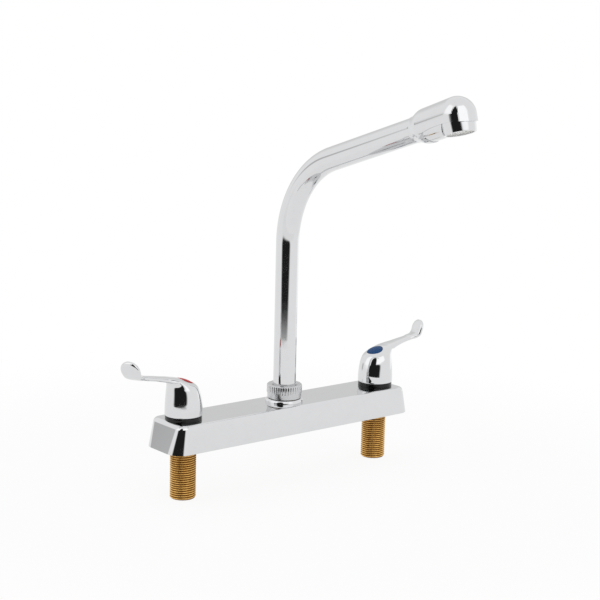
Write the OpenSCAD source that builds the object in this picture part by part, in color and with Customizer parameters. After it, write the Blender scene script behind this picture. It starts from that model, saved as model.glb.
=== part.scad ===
/* [Cover] */
// Room between a valve body and the end wall of the cover, where it leans in furthest
cover_end_room = 2.6; // [1:0.1:6]
// Depth of the cover from front to back, along its underside
cover_w = 47; // [45:0.5:60]
// Height of the cover
cover_h = 22.5; // [21:0.5:30]
// How far each end leans in over the height of the cover
cover_end_lean = 6.2; // [3:0.1:8]
// How far the front and the back lean in over the height of the cover
cover_side_lean = 1.8; // [0.5:0.1:2.5]
// Radius of the upright corners
cover_corner_r = 6; // [4:0.5:12]
// Radius that rounds the edge of the top
cover_edge_r = 3; // [1:0.25:4]
// Wall of the cover
cover_wall = 2.5; // [2:0.1:3.2]
// Diameter of the raised boss under the spout
boss_d = 31.4; // [30:0.2:36]
// Height of the raised boss
boss_h = 3.3; // [2:0.1:5]

/* [Inlets] */
// Distance between the two inlet shanks
inlet_spacing = 203.2; // [200:0.1:204]
// Outer diameter of a shank over its thread
shank_d = 20.955; // [20:0.005:21.5]
// How far a shank reaches below the cover
shank_reach = 41.5; // [30:0.5:70]
// Bore of a shank
shank_bore_d = 15; // [12:0.5:16]
// Chamfer on the lower end of a shank
shank_chamfer = 1; // [0.5:0.1:1.5]

/* [Valve bodies] */
// Height of the underside of the valve bodies above the sink
body_base_z = 1.5; // [1:0.1:2]
// Outer diameter of a valve body
body_d = 22.8; // [21.5:0.1:23]
// Depth of the socket that takes the shank's spigot
shank_socket_depth = 5; // [4:0.1:5.5]
// Thickness of the web under the cartridge
seat_web = 1.5; // [1:0.1:2]
// Diameter of the port through the web
seat_port_d = 9; // [7:0.5:10]
// Outer diameter of the threaded neck that passes the cover
neck_d = 18.8; // [18.4:0.1:19.2]
// How far the neck stands above the cover
neck_rise = 6.5; // [5:0.1:7]
// Outer diameter of a branch that takes a cross tube
branch_d = 13; // [12:0.1:13.5]
// How far a branch reaches from the axis of its valve body
branch_reach = 22; // [18:0.5:26]
// Outer diameter of a cross tube
cross_d = 10; // [8:0.1:10.5]
// Wall of a cross tube
cross_wall = 1; // [0.8:0.1:1.5]
// Depth of the socket that takes a cross tube
cross_socket = 7; // [5:0.5:8]
// Height of the cross tubes above the sink
cross_z = 12.6; // [11.5:0.1:13]

/* [Cover nuts and trim rings] */
// Outer diameter of a cover nut
cover_nut_d = 23.6; // [22:0.1:24]
// Height of a cover nut
cover_nut_h = 3.4; // [2.5:0.1:4]
// Width of the spanner slots in a cover nut
nut_slot_w = 3; // [2:0.1:4]
// Number of spanner slots in a cover nut
nut_slots = 4; // [3:1:6]
// Outer diameter of a trim ring
ring_d = 29.3; // [28.5:0.1:30]
// Height of a trim ring
ring_h = 3.1; // [2:0.1:4]

/* [Cartridges] */
// Outer diameter of the cartridge barrel
barrel_d = 15.8; // [15.4:0.1:16]
// Wall of the cartridge barrel around the discs
barrel_wall = 1; // [0.8:0.1:1.2]
// Thickness of the rubber seat
seat_t = 1.8; // [1.2:0.1:2.2]
// Thickness of one ceramic disc
disc_t = 2.4; // [2:0.1:2.8]
// Width across the flats of the bonnet's hexagon
bonnet_af = 17; // [16:0.1:18.5]
// Height of the hexagon
bonnet_hex_h = 4.3; // [3:0.1:4.5]
// Outer diameter of the guide above the hexagon
guide_d = 11.6; // [11:0.1:12.5]
// Diameter of the spindle at its top
spindle_d = 8; // [7:0.1:8.4]
// Diameter of the spindle inside the cartridge
spindle_shank_d = 10.4; // [10:0.1:10.8]
// Thickness of the spindle's foot
spindle_foot_t = 3.2; // [2.5:0.1:3.5]
// Length of the spline
spline_l = 6; // [5:0.1:7]
// Depth of the spline's grooves
spline_depth = 0.5; // [0.3:0.05:0.7]
// Number of teeth of the spline
spline_teeth = 16; // [12:1:20]
// Thickness of the spindle's O-ring
spindle_seal_t = 1.5; // [1.2:0.1:1.8]

/* [Handles] */
// Diameter of the hub at its foot
hub_d = 30; // [29.5:0.1:34]
// Height from the foot of the hub to the middle of the button
hub_h = 27.5; // [26.5:0.5:34]
// Distance from the spindle's axis to the tip of the lever
lever_reach = 52.4; // [46:0.2:70]
// Height of the lever's tip above the foot of the hub
lever_tip_h = 48.8; // [45:0.2:56]
// Thickness of the lever's arm
arm_t = 3; // [2.4:0.1:4]
// Width of the lever's paddle
paddle_w = 17.6; // [14:0.1:20]
// Wall of the hub at its foot
hub_wall = 2.7; // [2.2:0.1:2.9]
// Diameter of the index button
button_d = 14.2; // [12:0.1:14.6]
// Thickness of the index button
button_t = 2.5; // [2:0.1:2.8]
// Rise of the button's crown
button_crown = 0.5; // [0.2:0.1:1]
// Tilt of the button's face
button_tilt = 22.3; // [18:0.1:25]
// Distance of the button's middle from the spindle's axis, away from the lever
button_shift = 1.2; // [0.5:0.1:2]
// Diameter of the screw's head
screw_head_d = 7; // [6:0.1:7.4]
// Height of the screw's head
screw_head_h = 2.2; // [1.8:0.1:2.4]
// Diameter of the screw's thread
screw_d = 3.9; // [3:0.1:4]
// How far the screw goes into the spindle
screw_grip = 9; // [6:0.5:11]
// Thickness of the handle under the screw's head
screw_seat_t = 1.9; // [1.5:0.1:2.2]

/* [Spout post and nut] */
// Outer diameter of the post's body under the cover
post_body_d = 30; // [28:0.2:33]
// Height of the underside of the post above the sink
post_base_z = 4.5; // [3:0.1:5]
// Outer diameter of the threaded post
post_d = 26; // [25.6:0.1:26.2]
// Bore of the post, which guides the spout
post_bore_d = 23.2; // [22.8:0.1:23.4]
// How far the post stands above the cover
post_rise = 10.7; // [9:0.1:12]
// Diameter of the mixing chamber
chamber_d = 15; // [13:0.5:17]
// Outer diameter of the nut over its ribs
nut_d = 29.2; // [28.8:0.1:31]
// Outer diameter of the nut's smooth lower band
nut_band_d = 28.4; // [28:0.1:28.8]
// Height of the nut
nut_h = 11.3; // [10:0.1:14]
// Height of the nut's smooth lower band
nut_band_h = 5.8; // [4:0.1:7]
// Number of ribs around the nut
nut_ribs = 40; // [24:1:48]
// Depth of the grooves between the ribs
nut_rib_depth = 0.45; // [0.2:0.05:0.6]
// Thickness of the nut's top wall
nut_top_t = 2.1; // [1.6:0.1:2.6]
// Diameter of the bevel round the nut's opening
nut_bevel_d = 23; // [21:0.2:24.5]

/* [Spout] */
// Outer diameter of the spout tube
tube_d = 19; // [18.5:0.1:19.2]
// Wall of the spout tube
tube_wall = 1.1; // [1:0.1:1.4]
// Height of the point where the riser starts to bend
riser_top_z = 155.2; // [100:0.1:220]
// Radius of the bend, on the tube's centre line
bend_r = 76; // [50:1:110]
// Angle of the arm above the horizontal
arm_rise = 17.157; // [5:0.001:35]
// Length of the arm, from the bend to the axis of the outlet
arm_l = 138.7; // [100:0.1:200]
// Distance of the lower end of the tube above the mixing chamber
tube_lift = 0.8; // [0.5:0.1:1.5]
// Height of the guide bush
bush_h = 12.5; // [11:0.1:13.5]
// Thickness of the spout's O-rings
spout_seal_t = 1.4; // [1.2:0.1:1.5]
// Thickness of the split ring
split_ring_t = 1.9; // [1.5:0.1:2.2]
// Outer diameter of the split ring
split_ring_d = 24.4; // [23.5:0.1:25]
// Depth of the groove that holds the split ring
split_groove = 0.55; // [0.3:0.05:0.6]

/* [Outlet head] */
// Diameter of the head around the arm, where its flare ends
head_d = 26.2; // [24.6:0.1:30]
// Diameter of the dome over the outlet
dome_d = 27.6; // [26.4:0.1:31]
// Diameter of the hood at its lower edge
hood_d = 27.4; // [26.4:0.1:31]
// Length of the head along the arm, from its collar to the outlet's axis
head_l = 42; // [40:0.5:60]
// Thickness of the collar's lip on the tube
collar_lip = 0.5; // [0.4:0.1:1.2]
// Length of the collar's flare
flare_l = 12.5; // [10:0.5:16]
// Depth of the tube's socket in the head
tube_socket = 17; // [14:0.5:18]
// Thickness of the O-ring between tube and head
head_seal_t = 1.8; // [1.4:0.1:2]
// Diameter of the underside, where it is set back
belly_d = 22; // [20:0.1:22.4]
// How far the set back underside lies below the middle of the arm
belly_drop = 1.7; // [1:0.1:2.2]
// Length of the set back part, back from the outlet's axis
belly_l = 28.5; // [24:0.5:29]
// Length of the pointed nose at the back end of the set back part
nose_l = 1.8; // [1:0.1:3]
// Height of the nose's point below the hood's edge
nose_drop = 4.4; // [3:0.1:5]
// Height of the hood's edge below the middle of the arm, at its highest
hood_edge_drop = 4.6; // [4:0.1:6]
// Radius of the curve of the hood's edge, seen from the side
hood_edge_r = 107; // [80:1:200]
// Distance of the highest point of the hood's edge from the outlet's axis
hood_edge_back = 9.5; // [5:0.5:14]
// Length of the aerator sleeve
sleeve_l = 8.5; // [8:0.1:14]
// Diameter of the aerator sleeve at its top
sleeve_d = 24.8; // [24.2:0.1:25]
// Diameter of the aerator sleeve at its rim
sleeve_rim_d = 23.3; // [22.5:0.1:24]
// Wall of the aerator sleeve
sleeve_wall = 1.6; // [1.4:0.1:1.9]
// Height of the sleeve's threaded upper part
sleeve_thread_h = 3.8; // [3:0.1:4]
// Diameter of the sleeve's threaded upper part
sleeve_thread_d = 21.6; // [21:0.1:22]
// Thickness of the aerator's washer
washer_t = 1.2; // [0.8:0.1:1.6]
// How far the screen lies inside the sleeve's rim
screen_inset = 1; // [0.5:0.1:2]
// Thickness of the screen
screen_t = 1.2; // [0.8:0.1:1.6]

/* [Fits] */
// Radial clearance of turning shafts in their bores
run_gap = 0.05; // [0.02:0.01:0.08]
// Radial clearance of pieces that stay together
seat_gap = 0.05; // [0.02:0.01:0.1]
// Gap between pieces that pass each other
pass_gap = 0.3; // [0.3:0.05:0.5]

/* [Hidden] */
$fn = 96;

// Length by which a cut runs past the face that it opens
over = cover_wall / 2;
// Sides of the circles that are hulled
hull_fn = 32;
// The two sides of the tap: hot is at the left, cold at the right
hot = -1;
cold = 1;

// Length of the cover along its underside, which takes in both valve bodies
cover_l = inlet_spacing + body_d + 2 * (cover_end_room + cover_wall + cover_end_lean);

// Heights, all above the sink
cover_top_in_z = cover_h - cover_wall;
seat_floor_z = body_base_z + shank_socket_depth + seat_web;
barrel_z = seat_floor_z + seat_t;
moving_disc_z = barrel_z + disc_t;
foot_z = moving_disc_z + disc_t;
barrel_room_z = foot_z + spindle_foot_t + pass_gap;
neck_top_z = cover_h + neck_rise;
hex_top_z = neck_top_z + bonnet_hex_h;
hub_z = cover_h + ring_h + pass_gap;
button_z = hub_z + hub_h;

// The button's recess is deeper than the button by the seat gap, and the screw lies under its floor
recess_depth = button_t + seat_gap;
recess_r = button_d / 2 + seat_gap;
screw_top_z = button_z - recess_depth / cos(button_tilt)
              - (screw_head_d / 2 + seat_gap - button_shift) * tan(button_tilt) - pass_gap;
screw_seat_z = screw_top_z - screw_head_h;
socket_top_z = screw_seat_z - screw_seat_t;
spindle_top_z = socket_top_z - pass_gap;
spline_z = spindle_top_z - spline_l;
spline_r = spindle_d / 2 - seat_gap;
guide_top_z = spline_z - 2 * pass_gap;

// Cartridge
barrel_in_r = barrel_d / 2 - barrel_wall;
disc_r = barrel_in_r - pass_gap;
spindle_shoulder_z = neck_top_z - barrel_wall;
seal_groove_r = spindle_shank_d / 2 - spindle_seal_t;
seal_z = (barrel_room_z + spindle_shoulder_z) / 2;
window_w = cross_d - 2 * cross_wall;
lug_w = disc_r / 3;
lug_deep = disc_t / 2;
port_in = disc_r / 4;
port_out = disc_r / 2;
port_r = 0.75 * disc_r;

// Handle
hub_r = hub_d / 2;
cavity_r = hub_r - hub_wall;
cavity_low_share = 0.42;
cavity_high_share = 0.6;
cavity_neck_share = 0.62;
socket_boss_r = guide_d / 2 + pass_gap;

// Rings of the hub, from its foot to where the arm leaves it. Each row gives the ring's middle
// (outwards, upwards), its heading in degrees, and its half axes along the lever and across it.
// Lengths are shares of the hub's radius, and heights shares of the hub's height.
hub_ring_shares = [
    [0.000, 0.000, 90.0, 0.960, 0.960],
    [0.000, 0.025, 90.0, 0.998, 0.998],
    [0.000, 0.090, 90.0, 1.000, 1.000],
    [0.000, 0.200, 90.0, 0.998, 1.000],
    [0.007, 0.350, 89.4, 0.983, 0.984],
    [0.023, 0.490, 88.2, 0.950, 0.966],
    [0.053, 0.645, 86.8, 0.901, 0.933],
    [0.108, 0.784, 85.2, 0.831, 0.880],
    [0.193, 0.878, 85.0, 0.736, 0.810],
    [0.327, 0.949, 84.2, 0.596, 0.740],
    [0.497, 1.009, 81.6, 0.435, 0.670],
    [0.680, 1.062, 73.0, 0.292, 0.600]
];
// Rings of the arm and its paddle, to the tip. Places are shares of the way from the hub's side to
// the tip, and the half axes are shares of the arm's thickness and of the paddle's width. The last
// number is the angle by which the ring twists about its heading, in degrees.
arm_ring_shares = [
    [-0.050, 0.100, 60.0, 1.100, 0.470, 0.0],
    [0.050, 0.140, 44.0, 0.850, 0.410, 0.0],
    [0.165, 0.180, 28.0, 0.700, 0.350, 0.0],
    [0.345, 0.245, 14.0, 0.600, 0.300, 0.0],
    [0.540, 0.300, 10.0, 0.600, 0.260, 0.0],
    [0.663, 0.347, 9.0, 0.620, 0.273, 1.8],
    [0.738, 0.352, 13.0, 0.630, 0.358, 5.9],
    [0.863, 0.393, 51.0, 0.750, 0.481, 13.5],
    [0.893, 0.544, 71.0, 0.750, 0.505, 18.0],
    [0.924, 0.706, 71.0, 0.750, 0.523, 18.0],
    [0.953, 0.849, 71.0, 0.720, 0.441, 18.0],
    [0.972, 0.950, 71.0, 0.560, 0.296, 18.0],
    [0.982, 1.000, 71.0, 0.300, 0.127, 18.0]
];
// Roundness of the sections: 2 is an ellipse, and more is squarer
hub_squareness = 2;
arm_squareness = 2.8;
// Steps between two rings, and points around one
ring_steps = 2;
ring_points = 28;

// Spout
tube_r = tube_d / 2;
bend_turn = 90 - arm_rise;
chamber_top_z = cross_z + cross_d / 2 + seat_web;
tube_foot_z = chamber_top_z + tube_lift;
post_top_z = cover_h + post_rise;
nut_z = cover_h + boss_h + pass_gap;
nut_top_z = nut_z + nut_h;
nut_ceiling_z = nut_top_z - nut_top_t;
split_ring_z = post_top_z + seat_gap;
bush_core_r = tube_r + seat_gap + tube_wall / 2;
bush_r = post_bore_d / 2 - run_gap;
bush_groove_h = spout_seal_t + 2 * seat_gap;
bush_groove_shares = [0.28, 0.72];
split_gap_w = tube_wall * 2;

// Outlet head, in the arm's own frame: z runs along the arm from the end of the bend, and y is up
head_z = arm_l - head_l;
socket_end_z = head_z + tube_socket;
flare_end_z = head_z + flare_l;
head_seal_z = flare_end_z + head_seal_t / 2;
flare_steps = 8;
hood_r = hood_d / 2;
dome_r = dome_d / 2;
// Angle at which the head widens from the end of its flare, so that it runs smoothly into the dome
dome_lean = asin(dome_r / norm([head_d / 2, arm_l - flare_end_z]))
            - atan2(head_d / 2, arm_l - flare_end_z);
sleeve_top_y = -hood_edge_drop - seat_gap;
sleeve_rim_y = sleeve_top_y - sleeve_l;
sleeve_pocket_r = sleeve_d / 2 + seat_gap + run_gap;
washer_y = sleeve_top_y + sleeve_thread_h;
outlet_bore_r = sleeve_thread_d / 2 - 2 * sleeve_wall;
insert_r = sleeve_rim_d / 2 - sleeve_wall;
screen_y = sleeve_rim_y + screen_inset;
insert_y = screen_y + screen_t;
screen_rings = 3;
screen_spokes = 6;
screen_bar_w = screen_t / 2;
insert_rings = 2;

// A value between two others
function blend(a, b, t) = a + (b - a) * t;

// A power that keeps the sign of its base
function signed_pow(v, p) = sign(v) * pow(abs(v), p);

// A smooth curve through the values a, b, c and d, from b at 0 to c at 1
function through(a, b, c, d, t) =
    (2 * b + (c - a) * t + (2 * a - 5 * b + 4 * c - d) * t * t
     + (3 * b - a - 3 * c + d) * t * t * t) / 2;

// The row of a table, or its nearest end row
function row(table, i) = table[min(max(i, 0), len(table) - 1)];

// All rings of the handle in real sizes: middle, heading, half axes, squareness and twist
function handle_rows() = concat(
    [for (s = hub_ring_shares)
        [s[0] * hub_r, s[1] * hub_h, s[2], s[3] * hub_r, s[4] * hub_r, hub_squareness,
         0]],
    [for (s = arm_ring_shares)
        [blend(hub_r, lever_reach, s[0]), blend(hub_h, lever_tip_h, s[1]), s[2],
         s[3] * arm_t, s[4] * paddle_w, arm_squareness, s[5]]]);

// The same rings with smooth steps between them
function smooth_rows(rows) = [
    for (i = [0 : len(rows) - 2], k = [0 : ring_steps - 1])
        [for (c = [0 : len(rows[0]) - 1])
            through(row(rows, i - 1)[c], rows[i][c], row(rows, i + 1)[c],
                    row(rows, i + 2)[c], k / ring_steps)],
    rows[len(rows) - 1]
];

// The points of one ring, which runs around its heading
function ring_of(r) = [
    for (k = [0 : ring_points - 1])
        let (q = 360 * k / ring_points,
             along = r[3] * signed_pow(cos(q), 2 / r[5]),
             across = r[4] * signed_pow(sin(q), 2 / r[5]))
        let (fore = along * cos(r[6]) + across * sin(r[6]))
        [r[0] + fore * sin(r[2]), across * cos(r[6]) - along * sin(r[6]), r[1] - fore * cos(r[2])]
];

// Skin over a row of rings that all have the same number of points
module loft(rings) {
    n = len(rings[0]);
    m = len(rings);
    sides = [for (i = [0 : m - 2], k = [0 : n - 1])
        let (a = i * n + k, b = i * n + (k + 1) % n)
        each [[a, a + n, b], [b, a + n, b + n]]];
    first = [for (k = [0 : n - 1]) k];
    last = [for (k = [0 : n - 1]) (m - 1) * n + n - 1 - k];
    polyhedron([for (r = rings) each r], concat(sides, [first, last]), convexity = 8);
}

// Puts a piece at one inlet, with its own +X pointing outwards along the cover
module at_inlet(side) {
    translate([side * inlet_spacing / 2, 0, 0])
        mirror([side == hot ? 1 : 0, 0, 0])
            children();
}

// A straight tube or ring that stands on its lower face
module ring(outer_r, inner_r, h) {
    difference() {
        cylinder(r = outer_r, h = h);
        translate([0, 0, -over])
            cylinder(r = inner_r, h = h + 2 * over);
    }
}

// A round ring of round section, lying flat
module o_ring(inner_r, thick) {
    rotate_extrude()
        translate([inner_r + thick / 2, 0])
            circle(d = thick, $fn = 32);
}

// One level of the cover, inset from the outline of its underside
module cover_slice(lean_share, inset, z) {
    l = cover_l - 2 * cover_end_lean * lean_share - 2 * inset;
    w = cover_w - 2 * cover_side_lean * lean_share - 2 * inset;
    r = max(cover_corner_r - inset, cover_edge_r / 2);
    for (x = [-1, 1], y = [-1, 1])
        translate([x * (l / 2 - r), y * (w / 2 - r), z])
            cylinder(r = r, h = seat_gap, $fn = hull_fn);
}

// The cover's outer form: a drafted block whose top edge is rounded by a quarter circle
module cover_form() {
    hull() {
        cover_slice(0, 0, 0);
        for (a = [0 : 18 : 90])
            let (z = cover_h - seat_gap - cover_edge_r * (1 - sin(a)))
            cover_slice(z / cover_h, cover_edge_r * (1 - cos(a)), z);
    }
}

// The hollow under the cover, which follows its walls
module cover_hollow() {
    hull() {
        cover_slice(0, cover_wall, -over);
        cover_slice(cover_top_in_z / cover_h, cover_wall, cover_top_in_z - seat_gap);
    }
}

module deck_cover() {
    color("lightgray")
        difference() {
            union() {
                cover_form();
                translate([0, 0, cover_top_in_z])
                    cylinder(d = boss_d, h = cover_wall + boss_h);
            }
            cover_hollow();
            cylinder(r = post_d / 2 + pass_gap, h = cover_h + boss_h + over);
            for (side = [hot, cold])
                at_inlet(side)
                    cylinder(r = neck_d / 2 + pass_gap, h = cover_h + over);
        }
}

// Inlet shank: a long tube with a narrower spigot that screws into the valve body
module shank(side) {
    r = shank_d / 2;
    spigot_r = r - cross_wall;
    spigot_top = body_base_z + shank_socket_depth - seat_gap;
    at_inlet(side)
        rotate_extrude()
            polygon([
                [shank_bore_d / 2, -shank_reach],
                [r - shank_chamfer, -shank_reach],
                [r, -shank_reach + shank_chamfer],
                [r, body_base_z],
                [spigot_r, body_base_z],
                [spigot_r, spigot_top],
                [shank_bore_d / 2, spigot_top]
            ]);
}

module hot_shank() {
    color("goldenrod") shank(hot);
}

module cold_shank() {
    color("goldenrod") shank(cold);
}

// Valve body: clamped under the cover, with a neck for the cartridge and a branch for the cross tube
module valve_body(side) {
    at_inlet(side)
        difference() {
            union() {
                translate([0, 0, body_base_z])
                    cylinder(d = body_d, h = cover_top_in_z - body_base_z);
                translate([0, 0, cover_top_in_z])
                    cylinder(d = neck_d, h = neck_top_z - cover_top_in_z);
                translate([0, 0, cross_z])
                    rotate([0, -90, 0])
                        cylinder(d = branch_d, h = branch_reach);
            }
            translate([0, 0, body_base_z - over])
                cylinder(r = shank_d / 2 - cross_wall + seat_gap, h = shank_socket_depth + over);
            translate([0, 0, body_base_z])
                cylinder(d = seat_port_d, h = seat_floor_z);
            translate([0, 0, seat_floor_z])
                cylinder(r = barrel_d / 2 + seat_gap, h = neck_top_z);
            translate([0, 0, cross_z])
                rotate([0, -90, 0])
                    cylinder(d = window_w, h = branch_reach + over);
            translate([-branch_reach + cross_socket, 0, cross_z])
                rotate([0, -90, 0])
                    cylinder(r = cross_d / 2 + seat_gap, h = cross_socket + over);
        }
}

module hot_valve_body() {
    color("darkgoldenrod") valve_body(hot);
}

module cold_valve_body() {
    color("darkgoldenrod") valve_body(cold);
}

// Cross tube: from the valve body's socket to the socket in the spout post
module cross_tube(side) {
    far = inlet_spacing / 2 - branch_reach + cross_socket;
    near = post_body_d / 2;
    translate([side * near, 0, cross_z])
        rotate([0, side * 90, 0])
            ring(cross_d / 2, cross_d / 2 - cross_wall, far - near);
}

module hot_cross_tube() {
    color("peru") cross_tube(hot);
}

module cold_cross_tube() {
    color("peru") cross_tube(cold);
}

// Spout post: a tee that takes both cross tubes, with the threaded post that carries the spout
module spout_post() {
    socket_end = post_body_d / 2;
    color("darkgoldenrod")
        difference() {
            union() {
                translate([0, 0, post_base_z])
                    cylinder(d = post_body_d, h = cover_top_in_z - post_base_z);
                translate([0, 0, cover_top_in_z])
                    cylinder(d = post_d, h = post_top_z - cover_top_in_z);
                for (side = [hot, cold])
                    translate([0, 0, cross_z])
                        rotate([0, side * 90, 0])
                            cylinder(d = branch_d, h = socket_end + cross_socket);
            }
            translate([0, 0, post_base_z + seat_web])
                cylinder(d = chamber_d, h = post_top_z);
            translate([0, 0, chamber_top_z])
                cylinder(d = post_bore_d, h = post_top_z);
            for (side = [hot, cold])
                translate([0, 0, cross_z])
                    rotate([0, side * 90, 0]) {
                        cylinder(d = window_w, h = socket_end);
                        translate([0, 0, socket_end - seat_gap])
                            cylinder(r = cross_d / 2 + seat_gap, h = cross_socket + over);
                    }
        }
}

// Round lock nut that holds the cover down, with slots for a pin spanner
module cover_nut(side) {
    at_inlet(side)
        translate([0, 0, cover_h])
            difference() {
                ring(cover_nut_d / 2, neck_d / 2 + seat_gap, cover_nut_h);
                for (k = [0 : nut_slots - 1])
                    rotate([0, 0, 360 * k / nut_slots])
                        translate([cover_nut_d / 2 - cover_wall / 2, -nut_slot_w / 2,
                                   cover_nut_h / 2])
                            cube([cover_wall, nut_slot_w, cover_nut_h]);
            }
}

module hot_cover_nut() {
    color("darkgoldenrod") cover_nut(hot);
}

module cold_cover_nut() {
    color("darkgoldenrod") cover_nut(cold);
}

// Trim ring between cover and handle, with a rounded shoulder
module hub_ring(side) {
    round_r = ring_h / 3;
    in_r = cover_nut_d / 2 + pass_gap;
    width = ring_d / 2 - in_r;
    at_inlet(side)
        translate([0, 0, cover_h])
            rotate_extrude()
                translate([in_r, 0]) {
                    square([width, ring_h - round_r]);
                    square([width - round_r, ring_h]);
                    translate([width - round_r, ring_h - round_r])
                        circle(r = round_r, $fn = 32);
                }
}

module hot_hub_ring() {
    color([0.05, 0.05, 0.05]) hub_ring(hot);
}

module cold_hub_ring() {
    color([0.05, 0.05, 0.05]) hub_ring(cold);
}

// Cartridge bonnet: barrel with the disc room and its side window, hexagon and spindle guide
module bonnet(side) {
    at_inlet(side)
        difference() {
            union() {
                translate([0, 0, barrel_z])
                    cylinder(d = barrel_d, h = neck_top_z - barrel_z);
                translate([0, 0, neck_top_z])
                    cylinder(r = bonnet_af / 2 / cos(30), h = bonnet_hex_h, $fn = 6);
                translate([0, 0, hex_top_z])
                    cylinder(d = guide_d, h = guide_top_z - hex_top_z);
            }
            translate([0, 0, barrel_z - over])
                cylinder(r = barrel_in_r, h = barrel_room_z - barrel_z + over);
            translate([0, 0, barrel_z])
                cylinder(r = spindle_shank_d / 2 + run_gap, h = spindle_shoulder_z - barrel_z);
            translate([0, 0, barrel_z])
                cylinder(r = spindle_d / 2 + run_gap, h = guide_top_z);
            translate([-barrel_d, -window_w / 2, moving_disc_z])
                cube([barrel_d, window_w, barrel_room_z - moving_disc_z]);
        }
}

module hot_bonnet() {
    color("darkkhaki") bonnet(hot);
}

module cold_bonnet() {
    color("darkkhaki") bonnet(cold);
}

// Rubber seat between the web of the valve body and the cartridge
module seat_seal(side) {
    at_inlet(side)
        translate([0, 0, seat_floor_z])
            ring(barrel_d / 2, seat_port_d / 2, seat_t);
}

module hot_seat_seal() {
    color("dimgray") seat_seal(hot);
}

module cold_seat_seal() {
    color("dimgray") seat_seal(cold);
}

// The port on one side of a ceramic disc
module disc_port() {
    intersection() {
        translate([0, 0, -over])
            cylinder(r = port_r, h = disc_t + 2 * over);
        translate([-port_r, port_in, -over])
            cube([2 * port_r, port_out - port_in, disc_t + 2 * over]);
    }
}

// Lower ceramic disc, with a port on either side
module fixed_disc(side) {
    at_inlet(side)
        translate([0, 0, barrel_z])
            difference() {
                cylinder(r = barrel_in_r - seat_gap, h = disc_t);
                for (turn = [0, 180])
                    rotate([0, 0, turn])
                        disc_port();
            }
}

module hot_fixed_disc() {
    color("white") fixed_disc(hot);
}

module cold_fixed_disc() {
    color("white") fixed_disc(cold);
}

// Upper ceramic disc, which covers the ports when shut, with a slot for the spindle's lug
module moving_disc(side) {
    at_inlet(side)
        translate([0, 0, moving_disc_z])
            difference() {
                cylinder(r = disc_r, h = disc_t);
                for (turn = [90, 270])
                    rotate([0, 0, turn])
                        disc_port();
                translate([-lug_w / 2 - seat_gap, -disc_r, disc_t - lug_deep - seat_gap])
                    cube([lug_w + 2 * seat_gap, 2 * disc_r, disc_t]);
            }
}

module hot_moving_disc() {
    color("white") moving_disc(hot);
}

module cold_moving_disc() {
    color("white") moving_disc(cold);
}

// The outline of the splined end, grown by a clearance for the handle's socket
module spline_outline(gap) {
    steps = 2 * spline_teeth;
    polygon([for (k = [0 : steps - 1], half = [-1, 1])
        let (q = 360 * (k + half / 5) / steps,
             d = (k % 2 == 0 ? spline_r : spline_r - spline_depth) + gap)
        [d * cos(q), d * sin(q)]]);
}

// Spindle: foot with its lug, thick part with the O-ring's groove, stem and splined end
module spindle(side) {
    at_inlet(side)
        difference() {
            union() {
                translate([0, 0, foot_z])
                    cylinder(r = disc_r, h = spindle_foot_t);
                intersection() {
                    translate([0, 0, foot_z - lug_deep])
                        cylinder(r = disc_r - seat_gap, h = lug_deep + seat_gap);
                    translate([-lug_w / 2, -disc_r, foot_z - lug_deep])
                        cube([lug_w, 2 * disc_r, lug_deep + seat_gap]);
                }
                translate([0, 0, foot_z])
                    cylinder(d = spindle_shank_d, h = spindle_shoulder_z - pass_gap - foot_z);
                translate([0, 0, foot_z])
                    cylinder(d = spindle_d, h = spline_z - foot_z);
                translate([0, 0, spline_z])
                    linear_extrude(height = spline_l)
                        spline_outline(0);
            }
            translate([0, 0, seal_z - spindle_seal_t / 2 - seat_gap])
                ring(spindle_shank_d, seal_groove_r, spindle_seal_t + 2 * seat_gap);
            translate([0, 0, spindle_top_z - screw_grip])
                cylinder(r = screw_d / 2 + seat_gap, h = screw_grip + over);
        }
}

module hot_spindle() {
    color("khaki") spindle(hot);
}

module cold_spindle() {
    color("khaki") spindle(cold);
}

module spindle_seal(side) {
    at_inlet(side)
        translate([0, 0, seal_z])
            o_ring(seal_groove_r, spindle_seal_t);
}

module hot_spindle_seal() {
    color([0.1, 0.1, 0.1]) spindle_seal(hot);
}

module cold_spindle_seal() {
    color([0.1, 0.1, 0.1]) spindle_seal(cold);
}

// Puts a piece on the face of the button, with its own z square to the face
module on_button_face() {
    translate([-button_shift, 0, button_z])
        rotate([0, -button_tilt, 0])
            children();
}

// The hollow of the hub: a wide room that closes in above the cartridge
module hub_hollow() {
    low = hub_z + cavity_low_share * hub_h;
    high = hub_z + cavity_high_share * hub_h;
    difference() {
        rotate_extrude()
            polygon([
                [0, hub_z - over],
                [cavity_r, hub_z - over],
                [cavity_r, low],
                [cavity_r * cavity_neck_share, high],
                [0, high]
            ]);
        translate([0, 0, guide_top_z + pass_gap])
            cylinder(r = socket_boss_r, h = hub_h);
    }
}

// Handle: hub, arm and paddle as one casting, with socket, screw seat and the button's recess
module handle(side) {
    at_inlet(side)
        difference() {
            translate([0, 0, hub_z])
                loft([for (r = smooth_rows(handle_rows())) ring_of(r)]);
            hub_hollow();
            translate([0, 0, hub_z])
                linear_extrude(height = socket_top_z - hub_z)
                    spline_outline(seat_gap);
            cylinder(r = screw_d / 2 + seat_gap, h = button_z);
            translate([0, 0, screw_seat_z])
                cylinder(r = screw_head_d / 2 + seat_gap, h = button_z - screw_seat_z);
            on_button_face()
                translate([0, 0, -recess_depth])
                    cylinder(r = recess_r, h = button_d);
        }
}

module hot_handle() {
    color("lightgray") handle(hot);
}

module cold_handle() {
    color("lightgray") handle(cold);
}

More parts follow.
